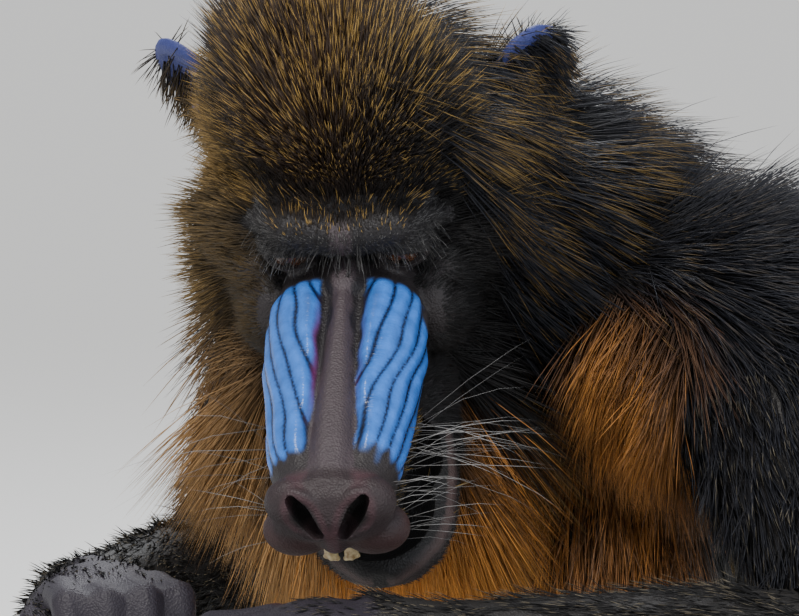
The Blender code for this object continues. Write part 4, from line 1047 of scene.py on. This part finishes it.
def coat_rules(points, normals):
    """Length, lie, colours and density of the coat at each place."""
    count = len(points)
    side, forward, up = on_head(points)
    wide = np.abs(side)
    which, along = nearest_bone(points)
    head = is_bone(which, "head")
    nape = is_bone(which, "neck", "shoulder")
    coat = dict(length=np.full(count, 0.024), lift=np.full(count, 0.16), width=np.full(count, 0.0024),
                density=np.ones(count), flecked=np.full(count, 0.35),
                lie=unit(np.array([bone[2] - bone[1] for bone in BONES])[which]),
                root=np.tile(HAIR_BLACK, (count, 1)) * 0.9, shaft=np.tile(HAIR_BLACK, (count, 1)),
                band=np.tile(HAIR_CREAM * 0.55, (count, 1)))
    body_coat(coat, points, normals, which, along)

    # Crown, cheeks, throat and face, blended into each other
    outwards = unit(columns(side / 60, forward / 75 * 0.7, (up + 8) / 60))[:, 0]
    crown_lie = head_direction(outwards * np.where(side > 0, 1.1, 0.55), -0.85,
                               0.75 - 0.50 * rise(30 - forward, 0, 60))
    cheek_lie = head_direction(np.sign(side) * 1.0, -0.40, -0.12 + 0.010 * up)
    throat_lie = head_direction(side * 0.006, 0.50, -0.85)
    face_lie = head_direction(np.sign(side) * 0.8, -0.9, -0.15)
    to_crown = rise(up, 4, 26)
    to_throat = fall(up, -74, -46)
    to_face = rise(forward, 36, 62) * (1 - to_crown) * (1 - to_throat * fall(forward, 106, 134))
    head_lie = crown_lie * to_crown[:, None] + cheek_lie * ((1 - to_crown) * (1 - to_throat))[:, None]
    head_lie = head_lie + throat_lie * (to_throat * (1 - to_crown))[:, None]
    head_lie = head_lie * (1 - to_face[:, None]) + face_lie * to_face[:, None]
    above_brow = up + (52 - forward) * 0.75
    crown_length = 0.0045 + 0.054 * rise(above_brow, 18, 108) * (1 - 0.45 * rise(-side, 25, 48))
    cheek_length = 0.012 + 0.046 * rise(52 - forward, 0, 50) * (1 - 0.52 * rise(-side, 10, 40))
    throat_length = 0.010 + 0.078 * fall(forward, 84, 136)
    face_length = 0.0065 + 0.010 * to_throat * fall(forward, 110, 150)
    head_length = crown_length * to_crown + (1 - to_crown) * (
        cheek_length * (1 - to_throat) + throat_length * to_throat)
    head_length = head_length * (1 - to_face) + to_face * face_length
    gold = 0.55 + 0.25 * wander(points, 0.05, 8)
    dress(coat, head, lie=unit(head_lie), length=head_length, lift=0.52 * to_crown + 0.42 * (1 - to_crown),
          width=0.00060 + 0.0070 * np.minimum(head_length, 0.05), shaft=HAIR_BLACK * 1.1,
          band=HAIR_GOLD * 1.10, flecked=(0.22 * to_crown + 0.42 * (1 - to_crown)) * gold * 1.6)

    # Colours of the head: amber crown, pale cheek, gilded nape and orange beard
    amber = to_crown * np.exp(-(((side + 8) / 26) ** 2 + ((forward - 22) / 34) ** 2)) * head
    tint(coat, amber, shaft=(HAIR_AMBER * 0.14, 0.6))
    coat["flecked"] += 0.10 * amber
    pale_cheek = head * rise(-side, 30, 56) * fall(up, 30, 60)
    tint(coat, pale_cheek, band=(PALE_BAND, 1.0), shaft=(HAIR_GOLD * 0.16 + HAIR_TAN * 0.08, 0.8))
    coat["flecked"] += 0.45 * pale_cheek
    dress(coat, head & (to_crown > 0), flecked=coat["flecked"] * (0.45 + 0.55 * rise(above_brow, 22, 50)))
    beard = head * fall(up, -92, -70) * fall(forward, 100, 134)
    low_cheek = head * fall(up, -60, -30) * rise(side, 34, 48) * fall(forward, -22, 4)
    pale_jowl = head * fall(up, -78, -46) * rise(-side, 10, 26) * fall(forward, 60, 100)
    orange = np.clip(np.maximum(beard, np.maximum(low_cheek, pale_jowl) * 0.85), 0, 1)
    tan = rise(-side, 0, 30)[:, None]
    beard_tone = HAIR_ORANGE * (1 - tan * 0.75) + HAIR_TAN * tan * 0.75
    tint(coat, orange, 1.0, shaft=(beard_tone * 0.85, 1.0), band=(beard_tone * 1.35, 1.0),
         root=(beard_tone * 0.28, 1.0))
    from_head = np.sqrt(side ** 2 + forward ** 2 + up ** 2)
    tint(coat, nape * fall(from_head, 100, 175), 0.55, band=(HAIR_GOLD * 1.1, 1.0))
    tint(coat, nape * rise(-side, 20, 60) * fall(from_head, 90, 150), 0.6, band=(PALE_BAND, 1.0),
         shaft=(HAIR_GOLD * 0.14 + HAIR_TAN * 0.08, 0.8))

    # Orange ruff that hangs before the chest and the shoulder
    ruff = np.zeros(count)
    for place, reach in RUFF_PLACES:
        gap = np.linalg.norm(points - np.array(place), axis=1)
        ruff = np.maximum(ruff, fall(gap, reach * 0.55, reach))
    ruff = ruff * is_bone(which, "neck", "trunk", "shoulder")
    hang = columns(0.15 * np.clip(points[:, 0] / 0.06, -1, 1), -0.30, -0.95)
    dress(coat, ruff > 0.3, length=0.056, lift=0.34, width=0.0011, density=coat["density"] * 2.6,
          lie=unit(hang))
    tint(coat, ruff * (0.75 + 0.35 * wander(points, 0.03, 17)), 1.0, shaft=(HAIR_ORANGE * 0.80, 0.95),
         band=(HAIR_ORANGE * 1.35, 0.95))

    # Short hair of brow, chin, side of the face, ears and the corner of the mouth
    def zone(from_forward, to_forward, low, high):
        return head & (forward > from_forward) & (forward < to_forward) & (up > low) & (up < high)

    muzzle = zone(62, FAR_MM, -56, 9)
    brow = zone(34, FAR_MM, 8, 27)
    dress(coat, brow, length=0.0036, width=0.0007, lift=0.5, shaft=HAIR_BLACK * 2.2,
          band=HAIR_GREY * 0.7, flecked=0.30)
    over_rim = over_jaw_rim(forward, up)
    chin = zone(112, FAR_MM, -FAR_MM, FAR_MM) & (over_rim < -9)
    dress(coat, chin, length=0.0035, shaft=HAIR_BLACK * 1.5, band=HAIR_GREY * 0.5, flecked=0.25)
    dress(coat, zone(30, 125, -66, 8), band=HAIR_GREY * 0.25, flecked=0.22)
    ear_gap = ear_distance(side, forward, up)
    ear = (wide > 58) & (ear_gap < 1.30)
    dress(coat, (wide > 52) & (ear_gap < 2.2), lift=0.42)
    dress(coat, nape & (side < -24) & (from_head < 150), length=0.036)
    dress(coat, ear, length=0.017, width=0.0009)
    dress(coat, zone(58, 125, -78, -44), length=np.minimum(coat["length"], 0.007), shaft=HAIR_BLACK,
          band=HAIR_BLACK * 2.0)

    # How thick the coat stands, with eyes, swellings, nose and lips left bare
    eye_gap = np.hypot(wide - EYE_OUT_MM, np.hypot(forward - EYE_FORWARD_MM - 6, up - EYE_UP_MM + 3))
    bare = muzzle & (wide < 44) & (muzzle_angle(side, forward, up) < 1.72)
    bare = bare | (head & ((forward > 184) | (eye_gap < 15)))
    lip_gap = zone(105, FAR_MM, -FAR_MM, -50) & (over_rim > -9)
    ear_thin = 1 - 0.92 * rise(up + 10 * rise(-side, 0, 1), 36, 44)
    for where, density in ((zone(10, 125, -FAR_MM, -66), 2.4), (bare, 0.0), (muzzle & ~bare, 1.2),
                           (brow, 1.6), (chin, 0.8 * (forward < 186)), (lip_gap, 0.0),
                           (ear, 2.2 * ear_thin)):
        dress(coat, where, density=density)
    coat["flecked"] = np.clip(coat["flecked"], 0, 1)
    coat.update(head=head, which=which, crown=to_crown * head)
    return coat


# Name, tufts, rings of each tuft and seed of the draw
COAT_PIECES = (("crown_left", 21500, 2, 31), ("crown_right", 21500, 2, 32), ("cheek_left", 21500, 2, 33),
               ("cheek_right", 13000, 2, 34), ("face", 36000, 1, 35), ("mane_left", 21500, 2, 36),
               ("mane_right", 11000, 2, 40), ("trunk", 14000, 2, 37), ("arms", 20000, 2, 38),
               ("legs", 10000, 2, 39))
LONG_HAIR = 0.0125
CLUMP_SIZE = 0.022
SAG = np.array((0, 0, -0.06))
rules = coat_rules(triangle_middles, unit(np.cross(edge_a, edge_b)))
middle_side, middle_forward, middle_up = on_head(triangle_middles)
long_haired = rules["head"] & (rules["length"] > LONG_HAIR)
crowned = rules["crown"] > 0.5
nape = is_bone(rules["which"], "neck", "shoulder")
PIECE_MASKS = {
    "crown_left": long_haired & crowned & (middle_side > 0),
    "crown_right": long_haired & crowned & (middle_side <= 0),
    "cheek_left": long_haired & ~crowned & (middle_side > 0),
    "cheek_right": long_haired & ~crowned & (middle_side <= 0),
    "face": rules["head"] & ~long_haired,
    "mane_left": nape & (triangle_middles[:, 0] > 0),
    "mane_right": nape & (triangle_middles[:, 0] <= 0),
    "trunk": is_bone(rules["which"], "trunk", "hips", "tail"),
    "arms": is_bone(rules["which"], "upper_arm", "forearm", "hand"),
    "legs": is_bone(rules["which"], "thigh", "shin", "foot"),
}
for name, count, rings, seed in COAT_PIECES:
    draw = np.random.default_rng(seed)
    points, normals, uvs = sample_skin(rules["density"] * PIECE_MASKS[name], count, draw)
    here = coat_rules(points, normals)
    length = here["length"] * draw.uniform(0.75, 1.15, count)
    tangent = here["lie"] - normals * (here["lie"] * normals).sum(axis=1)[:, None]
    sway = columns(*[wander(points, CLUMP_SIZE, seed + 50 + k) for k in range(3)])
    fine = draw.normal(size=(count, 3)) * 0.10
    lift = (here["lift"] * draw.uniform(0.7, 1.3, count))[:, None]
    lie = unit(unit(tangent) * (1 - lift) + normals * lift + sway * 0.10 + fine)
    curl = unit(here["lie"]) * 0.10 + SAG + sway * 0.05
    fleck = (draw.random(count) < here["flecked"])[:, None]
    shade = draw.uniform(0.7, 1.35, count)[:, None]
    band = np.where(fleck, here["band"] * shade, here["shaft"] * shade)
    tones = {2: [here["root"] * shade, here["shaft"] * shade, band],
             1: [here["shaft"] * shade * 0.8, band]}[rings]
    grow_tufts("coat_" + name, points, normals, uvs, lie, length, here["width"], curl,
               np.stack(tones, axis=1), rings)

# Whiskers: long, stiff, pale hairs that grow from the sides of the muzzle above the lip and sweep out
# and back. Each is one solid strand, rooted in the skin.
WHISKERS = 66
WHISKER_WIDTH = 0.00036
draw = np.random.default_rng(61)
bed = rules["head"] & (np.abs(middle_side) > 25) & (middle_forward > 138) & (middle_forward < 196)
bed = bed & (middle_up > -52) & (middle_up < -18)
points, normals, uvs = sample_skin(bed * np.where(middle_side > 0, 1.0, 0.35), WHISKERS, draw)
side, forward, up = on_head(points)
reach = draw.uniform(0.040, 0.105, WHISKERS) * (0.55 + 0.45 * rise(190 - forward, 0, 50))
lie = head_direction(np.sign(side) * 1.0, -0.30 + draw.normal(size=WHISKERS) * 0.28,
                     0.10 + draw.normal(size=WHISKERS) * 0.24)
curl = np.zeros((WHISKERS, 3))
curl[:, 2] = -draw.uniform(0.05, 0.35, WHISKERS)
grey = draw.uniform(0.14, 0.50, WHISKERS)[:, None]
tones = np.stack([grey * (0.25, 0.24, 0.23), grey * (0.9, 0.88, 0.86), grey * (1.1, 1.08, 1.06),
                  grey * (1.25, 1.24, 1.22)], axis=1)
grow_tufts("whiskers", points, normals, uvs, lie, reach, np.full(WHISKERS, WHISKER_WIDTH), curl, tones, 3)

# Brow bristles: stiff grey hairs with white tips that hang from the brow over the eyes. Each is one
# solid strand, rooted in the skin.
BRISTLES = 280
BRISTLE_WIDTH = 0.00042
draw = np.random.default_rng(62)
bed = rules["head"] & (np.abs(middle_side) < 50) & (middle_forward > 44) & (middle_up > 9) & (middle_up < 24)
points, normals, uvs = sample_skin(bed * 1.0, BRISTLES, draw)
side, forward, up = on_head(points)
lie = head_direction(side * 0.020 + draw.normal(size=BRISTLES) * 0.25,
                     0.75 + draw.normal(size=BRISTLES) * 0.2, -0.35 + draw.normal(size=BRISTLES) * 0.25)
curl = np.tile((0.0, 0.0, -0.30), (BRISTLES, 1))
reach = draw.uniform(0.005, 0.014, BRISTLES)
grey = draw.uniform(0.02, 0.34, BRISTLES)[:, None]
tones = np.stack([grey * (0.1, 0.1, 0.1), grey * (0.3, 0.29, 0.28), grey * (2.2, 2.16, 2.10)], axis=1)
grow_tufts("brow_bristles", points, normals, uvs, lie, reach, np.full(BRISTLES, BRISTLE_WIDTH), curl,
           tones, 2)

# Incisors: two pairs of upper front teeth of ivory yellow enamel. Their roots go up behind the upper
# lip, and their broad edges show below it in the open mouth.
TOOTH_VOXEL = 0.00045


def speckled_finish(name, scale, detail, dark, pale, **settings):
    """Two tones that fine noise mixes over the piece, each with its place on the ramp."""
    finish, tree, shader = new_finish(name, **settings)
    coords = node(tree, "TexCoord")
    noise = node(tree, "TexNoise", Scale=scale, Detail=detail)
    ramp = node(tree, "ValToRGB")
    for stop, (position, colour) in zip(ramp.color_ramp.elements, (dark, pale)):
        stop.position = position
        stop.color = colour
    wire(tree, (coords, "Object", noise, "Vector"), (noise, "Fac", ramp, "Fac"),
         (ramp, "Color", shader, "Base Color"))
    return finish


tooth_flesh = bmesh.new()
for side in (LEFT, RIGHT):
    for inward, outward, edge_up in ((1.9, 7.6, -60.5), (2.4, 7.2, -52.0)):
        add_chain(tooth_flesh, [(mm(side * inward, 193, edge_up), 0.0013),
                                (mm(side * outward, 192, edge_up + 0.8), 0.0013)])
    for edge, root, root_radius in (((3.0, 192.8, -60), 4.0, 0.0022), ((6.6, 192, -59.4), 5.4, 0.0022),
                                    ((4.8, 193, -59.8), 4.8, 0.0024)):
        add_chain(tooth_flesh, [(mm(side * edge[0], edge[1], edge[2]), 0.0017),
                                (mm(side * root, 189, -40), root_radius)])
incisors = fuse("incisors", tooth_flesh, TOOTH_VOXEL, smoothing=3, matrix=head_world)
incisors.data.materials.append(speckled_finish(
    "enamel", 420.0, 4.0, (0.32, (0.34, 0.20, 0.06, 1)), (0.62, (0.72, 0.58, 0.30, 1)), Roughness=0.28,
    Coat_Weight=0.4))
smooth(incisors.data)
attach(incisors, "root")

# Nails: dark curved plates of horn, one on every finger and toe. Each is rooted on the back of the
# last joint and bent to its round.
NAIL_ROWS = 7
NAIL_COLUMNS = 9
NAIL_HALF_ANGLE = math.radians(58)
NAIL_FACES = ((1.07, 1), (0.90, -1))
nail_shape = bmesh.new()
for tip, ahead, over, radius in nail_places:
    over = (over - ahead * over.dot(ahead)).normalized()
    across = ahead.cross(over)
    rings = []
    for row in range(NAIL_ROWS):
        share = row / (NAIL_ROWS - 1)
        ring = []
        for thickness, order in NAIL_FACES:
            for column in range(NAIL_COLUMNS)[::order]:
                turn = NAIL_HALF_ANGLE * (2 * column / (NAIL_COLUMNS - 1) - 1)
                spread = turn * (1 - 0.25 * share ** 3)
                arch = radius * (thickness - 0.30 * max(0.0, share - 0.55))
                place = tip + ahead * radius * (1.9 * share - 0.85 - 0.25 * abs(turn) * share)
                place = place + (over * math.cos(spread) + across * math.sin(spread)) * arch
                ring.append(nail_shape.verts.new(place))
        rings.append(ring)
    for ring, onward in zip(rings, rings[1:]):
        for here in range(len(ring)):
            nail_shape.faces.new((ring[here - 1], ring[here], onward[here], onward[here - 1]))
    for ring in (rings[0], rings[-1]):
        for column in range(NAIL_COLUMNS - 1):
            nail_shape.faces.new((ring[column], ring[column + 1], ring[-2 - column], ring[-1 - column]))
bmesh.ops.recalc_face_normals(nail_shape, faces=nail_shape.faces[:])
nail_mesh = bpy.data.meshes.new("nails")
nail_shape.to_mesh(nail_mesh)
nail_shape.free()
nail_mesh.transform(Matrix.Translation((0, -PAD_CENTRE_Y, 0)))
smooth(nail_mesh)
nail_mesh.materials.append(speckled_finish(
    "horn", 300.0, 3.0, (0.0, (0.018, 0.014, 0.013, 1)), (1.0, (0.095, 0.075, 0.065, 1)), Roughness=0.32))
nails = link("nails", nail_mesh)
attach(nails, "root")
